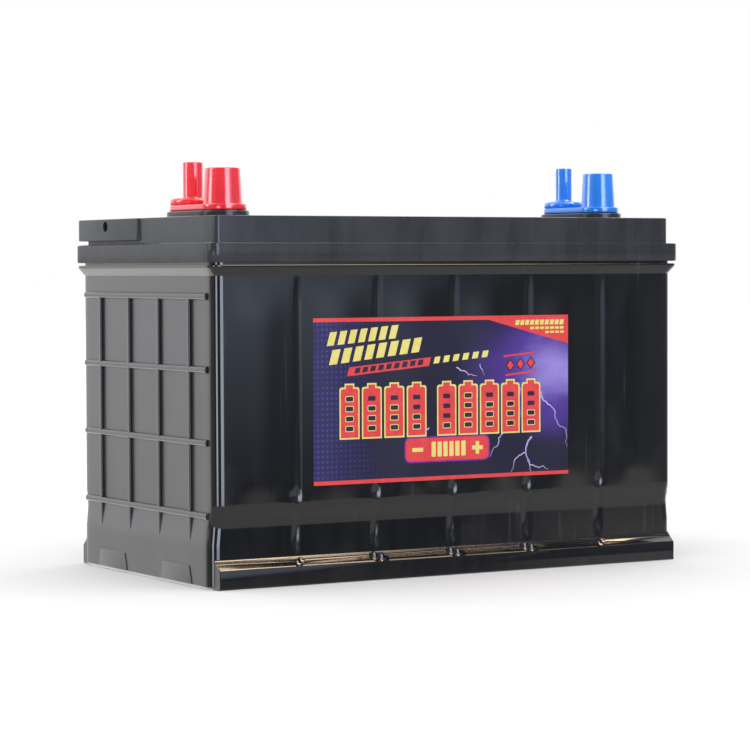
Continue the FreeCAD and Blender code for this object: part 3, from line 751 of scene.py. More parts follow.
# inset from the block's end and side, corner radius, height, and how far the partition ridges stand out
for end, side, radius, z, ridge in (
        (-0.5, -0.25, 3.4, FLANGE_HIGH + 0.02 * MM, 0), (0, 0, 3, FLANGE_HIGH + 0.5 * MM, 0.05),
        (0, 0, 3, LID_TOP - 0.8 * MM, 0.09), (0.23, 0.23, 2.8, LID_TOP - 0.23 * MM, 0.05),
        (0.8, 0.8, 2.4, LID_TOP, 0)):
    rows.append((BLOCK_HALF - end * MM, BLOCK_Y - side * MM, radius * MM, z, BLOCK_MID, ridge * MM))
bm = bmesh.new()
rows = stack(bm, [lid_row(*row) for row in rows], low=False, high=False)
well_mouths, cell_mouths = [], []
well_rings = [
    (WELL_R + 0.5 * MM, LID_TOP), (WELL_R + 0.12 * MM, LID_TOP - 0.12 * MM), (WELL_R, LID_TOP - 0.5 * MM),
    (WELL_R, WELL_FLOOR), (BORE_R + 0.5 * MM, WELL_FLOOR), (BORE_R, WELL_FLOOR - 0.5 * MM), (BORE_R, TUBE_FOOT),
    (TUBE_R, TUBE_FOOT), (TUBE_R, TUBE_TOP), (WELL_OUT_R, TUBE_TOP + 2.9 * MM), (WELL_OUT_R, CEILING)]
for x in CELL_X:
    loops = [add_loop(bm, circle(x, PLUG_Y, z, r, 64)) for r, z in well_rings]
    bridge(bm, loops)
    well_mouths.append(loops[0])
    x0, x1 = max(x - CELL_HALF, -142.2 * MM), min(x + CELL_HALF, 142.2 * MM)
    mouth, ceiling = (add_loop(bm, box_loop(x0, x1, -80 * MM, 80 * MM, z)) for z in (SEAT, CEILING))
    bridge(bm, [mouth, ceiling])
    fill(bm, ceiling, loops[-1])
    cell_mouths.append(mouth)
fill(bm, rows[-1], *well_mouths)
fill(bm, rows[0], *cell_mouths)
lid_skin = make_piece("lid_shell", bm, 34)
print("lid faces", len(lid_skin.data.polygons))


# %% Terminal pads and the end boss
def stadium(x, y0, y1, radius, z, arc=20):
    """A round-ended outline in the plane at height z."""
    points = []
    for centre, start in ((y0, pi), (y1, 0.0)):
        for k in range(arc + 1):
            angle = start + pi * k / arc
            points.append(Vector((x + radius * cos(angle), centre + radius * sin(angle), z)))
    return points


def terminal_place(polarity):
    """Axis of the post and the stud, and the radius of the cap's base, read from the frame."""
    low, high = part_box(polarity + "_cap")
    stud_low, stud_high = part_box(polarity + "_stud")
    radius = (high.x - low.x) / 2
    return (high.x + low.x) / 2, low.y + radius, (stud_low.y + stud_high.y) / 2, radius


def soft_stadium(name, x, y0, y1, radius, z0, z1, soft, under=0.0):
    """A round-ended plate; soft and under are the radii of its upper and lower edges."""
    turns = [(cos(k * pi / 8), sin(k * pi / 8)) for k in range(5)]
    sides = [(under * (1 - c), z0 + under * (1 - s)) for c, s in turns[::-1]] if under else [(0, z0)]
    sides += [(soft * (1 - c), z1 - soft * (1 - s)) for c, s in turns]
    return solid(name, [stadium(x, y0, y1, radius - inset, z) for inset, z in sides])


additions = []
for polarity in ("positive", "negative"):
    x, post_y, stud_y, radius = terminal_place(polarity)
    pad_r = radius + 1.5 * MM
    additions.append(soft_stadium("pad", x, post_y, stud_y, pad_r, LID_TOP - 1 * MM, lid_high.z, 0.9 * MM))

BOSS_X, BOSS_Y = -145.3 * MM, 44.35 * MM
BOSS_HALF_X, BOSS_HALF_Y = 6 * MM, 39.65 * MM
top = LID_TOP / MM
boss_loops = []
for z, out in ((186.1, -0.3), (186.4, 0), (top - 0.8, 0), (top - 0.23, -0.23), (top, -0.8)):
    ring = rounded_loop(BOSS_HALF_X + out * MM, BOSS_HALF_Y + out * MM, 2.0 * MM)
    boss_loops.append([Vector((BOSS_X + flat.x, BOSS_Y + flat.y, z * MM)) for flat, way in ring])
additions.append(solid("boss", boss_loops))
lid_skin = carve(lid_skin, additions, "UNION")


def cutter_box(x0, x1, y0, y1, z0, z1):
    return solid("cutter", [box_loop(x0 * MM, x1 * MM, y0 * MM, y1 * MM, z * MM) for z in (z0, z1)])


OUTLET_Y, OUTLET_Z, OUTLET_R = 46.7 * MM, 194.2 * MM, 2.9 * MM
outlet = [[Vector((x * MM, p.x, p.y)) for p in circle(OUTLET_Y, OUTLET_Z, 0, OUTLET_R, 40)] for x in (-153, -147.5)]
cutters = [solid("cutter", outlet), cutter_box(-152.6, -146.5, 4.7, 87, 184.0, 186.15),
           cutter_box(-152.6, -139.0, 80, 87, 184.0, 186.15)]
lid_skin = resharpen(carve(lid_skin, cutters, "DIFFERENCE"), 34)
paint(lid_skin, LID_PLASTIC)
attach(lid_skin, "case")
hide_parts("lid")
print("finished lid faces", len(lid_skin.data.polygons))

# %% [markdown]
# Caps. One soft vinyl moulding covers each terminal: a round-ended foot, a deck round the stud, a tapered cover
# for the post and a thin tube for the stud. Each is turned as a profile with its own soft edges, and then they
# are joined.

# %% Turned shapes
def lathe(name, x, y, profile, count=72):
    """A closed solid turned about an upright axis; the profile is (radius, z) from the bottom up."""
    return solid(name, [circle(x, y, z, r, count) for r, z in profile])


def quarter(steps):
    """How far a quarter circle has come in and gone up at each step, from 0 to 1."""
    turns = [k * pi / 2 / steps for k in range(steps + 1)]
    return [(1 - cos(t), 1 - sin(t)) for t in turns]


def soft_top(radius, top, soft, steps=6):
    """The last stretch of a profile: an edge of radius soft at the top of a cylinder."""
    return [(radius - soft * a, top - soft * b) for a, b in quarter(steps)]


def soft_foot(radius, bottom, soft, steps=5):
    """The first stretch of a profile: a hollow curve from a flat floor up into a wall."""
    return [(radius + soft * b, bottom + soft * a) for a, b in quarter(steps)]


CAP_FOOT_TOP = 205.2 * MM
CAP_DECK_TOP = 209.2 * MM
CAP_POST_TOP = 224.9 * MM
PLATE_TOP = 204.0 * MM
POST_TOP = 223.5 * MM
STUD_BOSS_TOP = 208.2 * MM
STUD_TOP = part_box("positive_stud")[1].z
CAP_SKIN = 1.05 * MM
ROOM = 0.25 * MM
TAPER = 1.0 / 18.0
# radii of the post at its foot, the stud, the stud's tube and the tube's flared foot
POST_R = {"positive": 9.7 * MM, "negative": 8.9 * MM}
STUD_R = {"positive": 4.7 * MM, "negative": 3.9 * MM}
TUBE = {"positive": 5.6 * MM, "negative": 4.85 * MM}
FLARE = {"positive": 1.0 * MM, "negative": 1.9 * MM}


def post_r(polarity, z):
    return POST_R[polarity] - (z - PLATE_TOP) * TAPER


def vinyl_cap(polarity, name):
    x, post_y, stud_y, radius = terminal_place(polarity)
    cap_low, cap_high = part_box(polarity + "_cap")
    foot = soft_stadium(name, x, post_y, stud_y, radius, cap_low.z, CAP_FOOT_TOP, 0.55 * MM, 0.9 * MM)
    deck_r = radius - 0.2 * MM
    deck = [(deck_r - 1.1 * MM, CAP_FOOT_TOP - 1 * MM), (deck_r - 0.35 * MM, CAP_FOOT_TOP + 0.35 * MM),
            (deck_r - 0.06 * MM, CAP_FOOT_TOP + 0.85 * MM)]
    deck = lathe("deck", x, stud_y, deck + soft_top(deck_r, CAP_DECK_TOP, 2.2 * MM))
    wide, narrow = (post_r(polarity, z) + CAP_SKIN for z in (CAP_FOOT_TOP, CAP_POST_TOP))
    cover = [(wide + 0.5 * MM, CAP_FOOT_TOP - 1 * MM)] + soft_foot(wide, CAP_FOOT_TOP - 0.05 * MM, 0.5 * MM)
    cover = lathe("cover", x, post_y, cover + soft_top(narrow, CAP_POST_TOP, 0.7 * MM), 96)
    tube_r, flare = TUBE[polarity], FLARE[polarity]
    tube = [(tube_r + flare, CAP_DECK_TOP - 1 * MM)] + soft_foot(tube_r, CAP_DECK_TOP - 0.05 * MM, flare)
    tube = lathe("tube", x, stud_y, tube + soft_top(tube_r, cap_high.z, 0.8 * MM), 64)
    cap = carve(foot, [deck, cover, tube], "UNION")
    # the hollow inside, open at the bottom
    under, room_r, stud_r = cap_low.z - 1 * MM, radius - 2.75 * MM, STUD_R[polarity] + 0.2 * MM
    rooms = [soft_stadium("room", x, post_y, stud_y, radius - 1.8 * MM, under, PLATE_TOP + ROOM, 0.2 * MM),
             lathe("room", x, post_y, [(post_r(polarity, cap_low.z) + ROOM, under),
                                       (post_r(polarity, POST_TOP) + ROOM, POST_TOP + ROOM)]),
             lathe("room", x, stud_y, [(room_r, under), (room_r, STUD_BOSS_TOP + ROOM)]),
             lathe("room", x, stud_y, [(stud_r, under), (stud_r, STUD_TOP + ROOM)])]
    return resharpen(carve(cap, rooms, "DIFFERENCE"), 40)


# %% Vinyl
def vinyl(name, deep, bright, radius):
    """Soft glossy vinyl that light enters a little, with faint flow marks and rubbed spots."""
    f = Finish(name, Subsurface_Weight=0.12, Subsurface_Scale=1.5 * MM, Subsurface_Radius=radius,
               Specular_IOR_Level=0.8)
    cloud = f.noise(f.stretched(f.place, (1.0, 1.0, 0.4)), 90.0, 4.0, 0.55)
    f.rubbed(0.5, 0.12, f.remap(cloud, 0.3, 0.7, 0.13, 0.19))
    f.shade(Base_Color=f.mix(cloud, deep, bright))
    f.bump(f.effect(GRAIN, Size=700.0)["Height"], 0.12, 0.02 * MM)
    return f.material


# two colours, and how far red, green and blue light go in
RED_VINYL = (0.62, 0.011, 0.023), (0.72, 0.021, 0.038), (1.0, 0.4, 0.3)
BLUE_VINYL = (0.006, 0.150, 0.62), (0.011, 0.200, 0.74), (0.3, 0.45, 1.0)
for polarity, colour, finish in (("positive", "red", RED_VINYL), ("negative", "blue", BLUE_VINYL)):
    cap = vinyl_cap(polarity, "cap_" + colour)
    paint(cap, vinyl("vinyl_" + colour, *finish))
    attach(cap, polarity + "_cap")
    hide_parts(polarity + "_cap")
    print(colour, "cap faces", len(cap.data.polygons))

# %% [markdown]
# Label. A printed film lies on the long wall and follows its bulges, but bridges the thin sunk lines. The film
# and each printed colour are thin slabs cut along a grid, so that they bend with the wall. The print is this
# lesson's own: a row of small cells, a polarity strip, slanted stripes and sparks. It carries no words.

# %% Film and print shapes
LABEL_W = label_high.x - label_low.x
LABEL_H = label_high.z - label_low.z
FILM_T = 0.12 * MM
INK_T = 0.03 * MM
GRID_U, GRID_V = 3.4 * MM, 7.5 * MM


def on_film(place, lift):
    """A point of the label, place from its lower left corner and lift above the wall's bulge."""
    x, z = label_low.x + place.x, label_low.z + place.z
    return Vector((x, -(WALL_Y + wall_bulge(x, z, -1) + lift), z))


def film_slab(bm, outline, low, high, ink):
    """A slab between two heights over the wall, with the outline given in millimetres on the label."""
    piece = bmesh.new()
    fill(piece, add_loop(piece, [Vector((u * MM, 0, v * MM)) for u, v in outline]))
    for way, size, pitch in ((Vector((1, 0, 0)), LABEL_W, GRID_U), (Vector((0, 0, 1)), LABEL_H, GRID_V)):
        for k in range(1, int(size / pitch) + 1):
            whole = piece.verts[:] + piece.edges[:] + piece.faces[:]
            bmesh.ops.bisect_plane(piece, geom=whole, plane_co=way * k * pitch, plane_no=way, dist=1e-7)
    bmesh.ops.recalc_face_normals(piece, faces=piece.faces)
    front, back = ({v: bm.verts.new(on_film(v.co, lift)) for v in piece.verts} for lift in (high, low))
    for face in piece.faces:
        for side, order in ((front, 1), (back, -1)):
            bm.faces.new([side[v] for v in face.verts][::order]).material_index = ink
    for edge in piece.edges:
        if len(edge.link_faces) == 1:
            a, b = edge.verts
            bm.faces.new((front[a], front[b], back[b], back[a])).material_index = ink
    piece.free()


def rounded_box(u0, v0, u1, v1, r, steps=4):
    points = []
    for cu, cv, start in ((u1 - r, v1 - r, 0), (u0 + r, v1 - r, 1), (u0 + r, v0 + r, 2), (u1 - r, v0 + r, 3)):
        for k in range(steps + 1):
            angle = (start + k / steps) * pi / 2
            points.append((cu + r * cos(angle), cv + r * sin(angle)))
    return points


def slanted(u, v, wide, high, rise, lean=0.28):
    """A slanted stripe: its lower edge runs from u, v to the right and climbs by rise per millimetre."""
    up, over = rise * wide, lean * high
    return [(u, v), (u + wide, v + up), (u + wide + over, v + high + up), (u + over, v + high)]


# %% [markdown]
# The print, layer by layer. RED, YELLOW, DARK, VIOLET and SPARK are slots of one piece. A spark is a broken line
# made by moving the middle of each stretch sideways by a seeded random amount, as lightning in drawings is made.

# %% Print
RED, YELLOW, DARK, VIOLET, SPARK = range(5)
bm = bmesh.new()
SPARK_SEED = 7
rng = random.Random(SPARK_SEED)


def ink(outline, colour, layer=1):
    film_slab(bm, outline, FILM_T - INK_T, FILM_T + layer * INK_T, colour)


def stripes(count, u, v, step_u, step_v, wide, high, rise, colour, layer=1, lean=0.28):
    """A row of slanted stripes."""
    for k in range(count):
        ink(slanted(u + step_u * k, v + step_v * k, wide, high, rise, lean), colour, layer)


def cell_icon(u, v, width, height, grow):
    """A small cell with a contact on top, drawn round a centre line and grown on all sides."""
    half, neck, r = width / 2 + grow, width * 0.2 + grow, 1.3
    top, shoulder = v + height + grow, v + height * 0.93 + grow
    side = [(half, v - grow), (half, shoulder - r), (half - r * 0.3, shoulder - r * 0.3), (half - r, shoulder),
            (neck, shoulder), (neck, top)]
    return [(u - half, v - grow)] + [(u + a, b) for a, b in side] + [(u - a, b) for a, b in side[:0:-1]]


def spark(points, width, rough=0.22, rounds=3):
    """A ribbon along a broken line that thins towards its end."""
    line = [Vector(p) for p in points]
    for _ in range(rounds):
        finer = [line[0]]
        for a, b in zip(line, line[1:]):
            along = b - a
            across = Vector((-along.y, along.x))
            finer += [(a + b) / 2 + across * rng.uniform(-rough, rough), b]
        line = finer
    left, right = [], []
    for i, p in enumerate(line):
        ahead = (line[min(i + 1, len(line) - 1)] - line[max(i - 1, 0)]).normalized()
        half = width / 2 * (1 - 0.8 * i / (len(line) - 1))
        left.append((p.x - ahead.y * half, p.y + ahead.x * half))
        right.append((p.x + ahead.y * half, p.y - ahead.x * half))
    for i in range(len(line) - 1):
        ink([left[i], left[i + 1], right[i + 1], right[i]], SPARK)


w, h = LABEL_W / MM, LABEL_H / MM
ink([(0, 0), (w, 0), (w, 2.0), (0, 2.2)], RED)
ink([(0, h), (0, h - 2.2), (112, h - 2.2), (w, h - 16.4), (w, h)], RED)
for count, end, low, high in ((10, 163, 5.4, 2.8), (7, 163.2, 7.9, 1.4), (4, 163.4, 10.2, 1.2)):
    stripes(count, end - 3.3, h - low, -3.3, 0, 2.5, high, 0, YELLOW, 2, 0.25)
for i, u in enumerate([15.9 + 14.2 * k for k in range(4)] + [78.2 + 14.0 * k for k in range(5)]):
    middle = u + 6.4
    ink(cell_icon(middle, 25.2, 11.0, 28.6, 0.85), YELLOW, 1)
    ink(cell_icon(middle, 25.2, 11.0, 28.6, 0.0), RED, 2)
    for k in range(4):
        low = 28.4 + 5.4 * k
        if k < (4, 3, 3, 2, 1)[i % 5]:
            ink(rounded_box(middle - 2.7, low, middle + 2.7, low + 3.3, 0.7), YELLOW, 3)
        ink(rounded_box(middle - 2.3, low + 0.4, middle + 2.3, low + 2.9, 0.5), DARK, 4)
ink(rounded_box(57.0, 9.9, 112.6, 24.2, 3.6), VIOLET, 1)
ink(rounded_box(57.8, 10.7, 111.8, 23.4, 3.0), RED, 2)
ink(rounded_box(62, 16.0, 69, 18.2, 0.4), YELLOW, 3)
for k in range(6):
    ink(rounded_box(74.5 + 3.9 * k, 12.9, 77.3 + 3.9 * k, 21.2, 0.5), YELLOW, 3)
arm, reach = 1.1, 3.5
quarter_plus = [(-reach, -arm), (-arm, -arm), (-arm, -reach)]
plus = quarter_plus + [(-b, a) for a, b in quarter_plus]
plus += [(-a, -b) for a, b in plus]
ink([(104.5 + a, 17.1 + b) for a, b in plus], YELLOW, 3)
stripes(7, 8.3, 75.2, 6.5, 0.53, 4.3, 7.4, 0.08, YELLOW)
stripes(8, 9.6, 64.9, 7.4, 0.80, 5.0, 8.1, 0.10, YELLOW)
stripes(1, 20.8, 58.6, 0, 0, 52.2, 4.8, 0.088, RED)
stripes(9, 25.4, 60.0, 5.0, 0.45, 3.3, 3.0, 0.09, DARK, 2)
stripes(6, 75.9, 64.3, 6.3, 0.56, 3.7, 3.7, 0.09, YELLOW)
for u, v in ((122, 67.0), (123.4, 56.4)):
    ink([(u, v), (u + 21, v + 1.9), (u + 21.2, v + 2.9), (u + 0.2, v + 1.0)], RED, 2)
for k in range(3):
    u, v = 126.6 + 7.0 * k, 62.4 + 0.6 * k
    for wide, tall, colour, layer in ((3.1, 3.6, DARK, 2), (2.3, 2.7, RED, 3)):
        ink([(u - wide, v), (u, v - tall), (u + wide, v), (u, v + tall)], colour, layer)
spark([(147.5, 47), (156, 37), (163.5, 26), (164.8, 15)], 0.75)
spark([(141, 22), (137, 13), (140.5, 2.2)], 1.2, 0.12)
for width, points in ((0.7, [(137, 13), (129, 8), (127, 2.4)]), (0.7, [(138.2, 9), (146, 4), (152, 3)]),
                      (0.7, [(91, 62), (99, 57.4), (104.5, 57)]), (0.6, [(106.5, 63.5), (109, 57)]),
                      (0.7, [(122.5, 25), (117, 17), (112.8, 11.5)]), (0.8, [(73, 29), (66, 26), (61, 24.6)]),
                      (0.5, [(133, 50), (131.5, 40), (134, 33)])):
    spark(points, width)
label_print = make_piece("label_print", bm, 30)
bm = bmesh.new()
film_slab(bm, [(0, 0), (w, 0), (w, h), (0, h)], 0.01 * MM, FILM_T, 0)
label_film = make_piece("label_film", bm, 30)
print("label faces", len(label_print.data.polygons), len(label_film.data.polygons))

# %% [markdown]
# Printed colours. The film's ground is painted by position: a navy weave that fades from the left edge, and a
# violet glow with clouds at the right. Each ink has a slight mottle, and the clear varnish over all of it is one
# coat value.

# %% Inks and ground
WEAVE_SCALE = 1100.0
VARNISH = {"Coat_Weight": 0.2, "Coat_Roughness": 0.15, "Specular_IOR_Level": 0.25}


def ink_material(name, colour, shade):
    f = Finish(name, **VARNISH)
    mottle = f.noise(f.place, 260.0, 3.0, 0.6)
    f.rubbed(0.4, 0.15, f.remap(mottle, 0.3, 0.7, 0.30, 0.38))
    f.shade(Base_Color=f.mix(f.remap(mottle, 0.35, 0.65), colour, shade))
    f.bump(mottle, 0.05, 0.01 * MM)
    return f.material


def ground_material():
    f = Finish("label_ground", **VARNISH)
    centred = f.out("ShaderNodeMapping", Vector=f.place, Scale=(1 / LABEL_W, 1, 1 / LABEL_H),
                    Location=(-label_low.x / LABEL_W, 0, -label_low.z / LABEL_H))
    spot, raw = f.split(centred), f.split(f.place)
    slants = [f.maths(how, raw["X"], raw["Z"]) for how in ("ADD", "SUBTRACT")]
    threads = [f.maths("SINE", f.times(slant, WEAVE_SCALE)) for slant in slants]
    weave = f.rise(f.times(*threads), 0.1, 0.8)
    patch = f.remap(f.noise(f.place, 70.0, 3.0), 0.35, 0.65, 0.2, 1.0)
    fade = f.rise(spot["X"], 0.0, 0.30, 1.0, 0.0)
    ground = f.mix(fade, (0.0055, 0.0042, 0.0200), (0.0130, 0.0095, 0.0580))
    ground = f.mix(f.times(f.times(weave, patch), fade), ground, (0.040, 0.036, 0.22))
    squares = []
    for part, centre, scale in ((spot["X"], 0.95, 2.1), (spot["Z"], 0.66, 1.75)):
        squares.append(f.maths("POWER", f.times(f.maths("SUBTRACT", part, centre), scale), 2.0))
    cloud = f.noise(f.stretched(f.place, (0.6, 1.0, 1.3)), 38.0, 5.0, 0.55)
    far = f.maths("ADD", f.maths("SQRT", f.maths("ADD", *squares)), f.maths("MULTIPLY_ADD", cloud, 0.55, -0.27))
    ground = f.mix(f.rise(far, 0.25, 0.86, 1.0, 0.0), ground, (0.062, 0.024, 0.24))
    ground = f.mix(f.rise(far, 0.02, 0.42, 0.9, 0.0), ground, (0.25, 0.20, 0.54))
    f.rubbed(0.4, 0.15, 0.32)
    f.shade(Base_Color=ground)
    f.bump(cloud, 0.04, 0.01 * MM)
    return f.material


for name, colour, shade in (("ink_red", (0.52, 0.034, 0.038), (0.57, 0.046, 0.048)),
                            ("ink_yellow", (0.58, 0.50, 0.125), (0.61, 0.54, 0.18)),
                            ("ink_dark", (0.010, 0.006, 0.022), (0.015, 0.009, 0.031)),
                            ("ink_violet", (0.135, 0.008, 0.24), (0.175, 0.014, 0.29)),
                            ("ink_spark", (0.30, 0.24, 0.56), (0.48, 0.44, 0.65))):
    label_print.data.materials.append(ink_material(name, colour, shade))
label_film.data.materials.append(ground_material())
for piece in (label_print, label_film):
    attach(piece, "case")
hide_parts("label")

# %% [markdown]
# Vent plugs. Each cell has a screw plug that lies flush in its well. A plug is turned as a profile whose shank
# carries a real thread: the radius of each ring follows a V that climbs one pitch a turn. The plugs are the same
# mesh, moved from cell to cell, because a moulder makes six from one tool.

# %% Threads and plugs
def threaded(name, x, y, z0, z1, radius, pitch, depth, blunt, head, tail, count, per_pitch):
    """A round bar whose side is a V thread; head and tail are plain (radius, z) rings above and below it."""
    loops = [circle(x, y, z, r, count) for r, z in tail]
    steps = int((z1 - z0) / pitch * per_pitch)
    for i in range(steps + 1):
        z = z0 + (z1 - z0) * i / steps
        run_out = min((z - z0) / blunt, (z1 - z) / blunt, 1.0)
        ring = []
        for k in range(count):
            angle = 2 * pi * k / count
            turn = (z / pitch - k / count) % 1.0
            r = radius - depth * min(max(1.35 * (1 - abs(2 * turn - 1)) - 0.15, 0), 1) * run_out
            ring.append(Vector((x + r * cos(angle), y + r * sin(angle), z)))
        loops.append(ring)
    return solid(name, loops + [circle(x, y, z, r, count) for r, z in head], 50)


SHANK_R, HEAD_R, HOLLOW_R = 8.9 * MM, 12.6 * MM, 6.5 * MM
PLUG_PITCH, PLUG_THREAD = 2.5 * MM, 0.75 * MM


def plug_shape(x):
    low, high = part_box("vent_plug_1")
    z0, z1 = low.z, high.z
    neck = z1 - 3.6 * MM
    head = [(SHANK_R, neck - 0.4 * MM), (SHANK_R, neck), (HEAD_R - 0.3 * MM, neck), (HEAD_R, neck + 0.3 * MM)]
    head += soft_top(HEAD_R, z1, 0.6 * MM, 4)
    tip = [(SHANK_R - 0.8 * MM, z0), (SHANK_R, z0 + 0.8 * MM)]
    bar = threaded("vent_plug", x, PLUG_Y, z0 + 1.0 * MM, neck - 1.0 * MM, SHANK_R, PLUG_PITCH, PLUG_THREAD,
                   1.6 * MM, head, tip, 64, 10)
    hollow = [(HOLLOW_R + 0.5 * MM, z0 - 1 * MM), (HOLLOW_R, z0 + 0.6 * MM), (HOLLOW_R, neck - 1.5 * MM)]
    bore = lathe("tool", x, PLUG_Y, hollow, 48)
    slot = soft_stadium("tool", 0, -7.2 * MM, 7.2 * MM, 1.3 * MM, z1 - 1.9 * MM, z1 + 1 * MM, 0.1 * MM, 0.5 * MM)
    for v in slot.data.vertices:
        v.co.x, v.co.y = x + v.co.y, PLUG_Y + v.co.x
    vent = lathe("tool", 0, 0, [(0.9 * MM, 0), (0.9 * MM, 12 * MM)], 20)
    for v in vent.data.vertices:
        v.co = Vector((x + v.co.x, PLUG_Y + v.co.z, z0 + 3 * MM + v.co.y))
    for tool in (slot, vent):
        tool.data.flip_normals()
    ring = lathe("tool", x, PLUG_Y, [(10.6 * MM, z1 - 0.35 * MM), (10.6 * MM, z1 + 1 * MM)], 64)
    disc = lathe("tool", x, PLUG_Y, [(10.0 * MM, z1 - 1.0 * MM), (10.0 * MM, z1 + 2 * MM)], 64)
    ring = carve(ring, [disc], "DIFFERENCE")
    return resharpen(carve(bar, [bore, vent, ring, slot], "DIFFERENCE"), 38)


pattern = plug_shape(CELL_X[0])
for cell, x in enumerate(CELL_X, 1):
    plug = bpy.data.objects.new(f"vent_plug_{cell}_skin", pattern.data.copy())
    bpy.context.scene.collection.objects.link(plug)
    for v in plug.data.vertices:
        v.co.x += x - CELL_X[0]
    paint(plug, PLUG_PLASTIC)
    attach(plug, f"vent_plug_{cell}")
    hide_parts(f"vent_plug_{cell}")
print("plug faces", len(pattern.data.polygons))
bpy.data.objects.remove(pattern)

# %% [markdown]
# Metal parts under the caps. The posts are cast lead: soft, pale grey where it was cut and darker where it has
# dulled. The studs are turned steel with a fine thread. They show when a cap is pulled off.

# %% Lead, steel and the inside of a cell
def mottled(name, dark, light, scale, rough, bump_size, bump_depth, **fixed):
    """A material that mottles between two colours, with grain; most plain parts need no more."""
    f = Finish(name, **fixed)
    cloud = f.noise(f.place, scale, 6.0, 0.62)
    f.shade(Base_Color=f.mix(f.rise(cloud, 0.32, 0.68), dark, light),
            Roughness=f.remap(f.noise(f.place, scale * 7, 3.0, 0.6), 0.3, 0.7, *rough))
    f.bump(f.effect(GRAIN, Size=bump_size)["Height"], 0.6, bump_depth * MM)
    return f.material


LEAD = mottled("cast_lead", (0.17, 0.175, 0.19), (0.34, 0.35, 0.37), 130.0, (0.36, 0.58), 700.0, 0.05,
               Metallic=1.0)
STEEL = mottled("turned_steel", (0.46, 0.46, 0.47), (0.58, 0.58, 0.58), 220.0, (0.22, 0.36), 1600.0, 0.02,
                Metallic=1.0)
FINISHES = {
    "oring": mottled("seal_rubber", (0.012, 0.012, 0.013), (0.03, 0.03, 0.031), 160.0, (0.55, 0.75), 1500.0, 0.03),
    "arrestor": mottled("porous_frit", (0.52, 0.50, 0.46), (0.78, 0.76, 0.72), 900.0, (0.8, 0.95), 2600.0, 0.20),
    "positive_plates": mottled("positive_paste", (0.060, 0.022, 0.012), (0.13, 0.052, 0.026), 240.0, (0.75, 0.95),
                               1500.0, 0.12),
    "negative_plates": mottled("negative_paste", (0.12, 0.125, 0.13), (0.24, 0.245, 0.25), 260.0, (0.55, 0.8),
                               1500.0, 0.12),
    "separators": mottled("separator_sheet", (0.62, 0.61, 0.57), (0.80, 0.79, 0.75), 120.0, (0.6, 0.8), 1800.0,
                          0.08),
    "strap": LEAD,
}
for name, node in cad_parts.items():
    for word, finish in FINISHES.items():
        if word in name:
            for slot in node.material_slots:
                slot.material = finish

# %% Terminals and studs
STUD_PITCH = {"positive": 25.4 / 16 * MM, "negative": 25.4 / 18 * MM}
SLEEVE_R, RING_R = 10.4 * MM, 11.0 * MM
for polarity in ("positive", "negative"):
    x, post_y, stud_y, radius = terminal_place(polarity)
    boss_r, foot_r, sunk = radius - 3.0 * MM, post_r(polarity, PLATE_TOP), PLATE_TOP - 1 * MM
    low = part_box(polarity + "_terminal")[0].z
    base = soft_stadium(polarity + "_terminal_skin", x, post_y, stud_y, radius - 2.05 * MM, PLATE_TOP - 2.2 * MM,
                        PLATE_TOP, 0.4 * MM)
    post = [(foot_r + 0.4 * MM, sunk)] + soft_foot(foot_r, PLATE_TOP - 0.02 * MM, 0.4 * MM, 3)
    post = lathe("post", x, post_y, post + soft_top(post_r(polarity, POST_TOP), POST_TOP, 0.9 * MM, 4), 96)
    boss = lathe("boss", x, stud_y, [(boss_r, sunk)] + soft_top(boss_r, STUD_BOSS_TOP, 0.5 * MM, 3))
    sleeve = [(9.6 * MM, low), (SLEEVE_R, low + 0.8 * MM)]
    for k in range(4):
        z = low + (3.0 + 3.4 * k) * MM
        sleeve += [(SLEEVE_R, z), (RING_R, z + 0.2 * MM), (RING_R, z + 1.4 * MM), (SLEEVE_R, z + 1.6 * MM)]
    sleeve = [ring for ring in sleeve if ring[1] < PLATE_TOP - 2.4 * MM] + [(SLEEVE_R, sunk)]
    sleeve = lathe("sleeve", x, post_y, sleeve)
    foot = lathe("foot", x, stud_y, [(7.0 * MM, 198.2 * MM), (7.0 * MM, sunk)])
    skin = resharpen(carve(base, [post, boss, sleeve, foot], "UNION"), 38)
    paint(skin, LEAD)
    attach(skin, "case")
    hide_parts(polarity + "_terminal")
    stud_low, stud_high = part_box(polarity + "_stud")
    r, pitch = STUD_R[polarity], STUD_PITCH[polarity]
    rod = threaded(polarity + "_stud_skin", x, stud_y, STUD_BOSS_TOP - 1 * MM, stud_high.z - 0.9 * MM, r, pitch,
                   0.62 * pitch, 0.9 * MM, [(r - 0.75 * MM, stud_high.z)], [(r, stud_low.z)], 40, 8)
    rod.data.materials.append(STEEL)
    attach(rod, "case")
    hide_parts(polarity + "_stud")
    print(polarity, "terminal faces", len(skin.data.polygons), "stud faces", len(rod.data.polygons))

# %% [markdown]
# Floor and light. The floor is a plain pale sheet, lit by an even sky so that it turns white and keeps one soft
# shadow. What the polished plastic mirrors is laid out separately, as cards round the battery: two tall soft
# boxes, a bright backdrop for the ribbed end, a pale table below and a warm card overhead that glows on the
# ledge.

# %% Floor
FLOOR_HALF = 8.0
bm = bmesh.new()
bm.faces.new(add_loop(bm, box_loop(-FLOOR_HALF, FLOOR_HALF, -FLOOR_HALF, FLOOR_HALF, 0)))
floor = make_piece("floor", bm)
if floor.data.polygons[0].normal.z < 0:
    floor.data.flip_normals()
f = Finish("floor_paint", Roughness=0.9, Specular_IOR_Level=0.0)
f.shade(Base_Color=f.mix(f.noise(f.place, 3.0, 2.0), (0.645, 0.645, 0.645), (0.67, 0.67, 0.67)))
floor.data.materials.append(f.material)
floor.visible_glossy = False


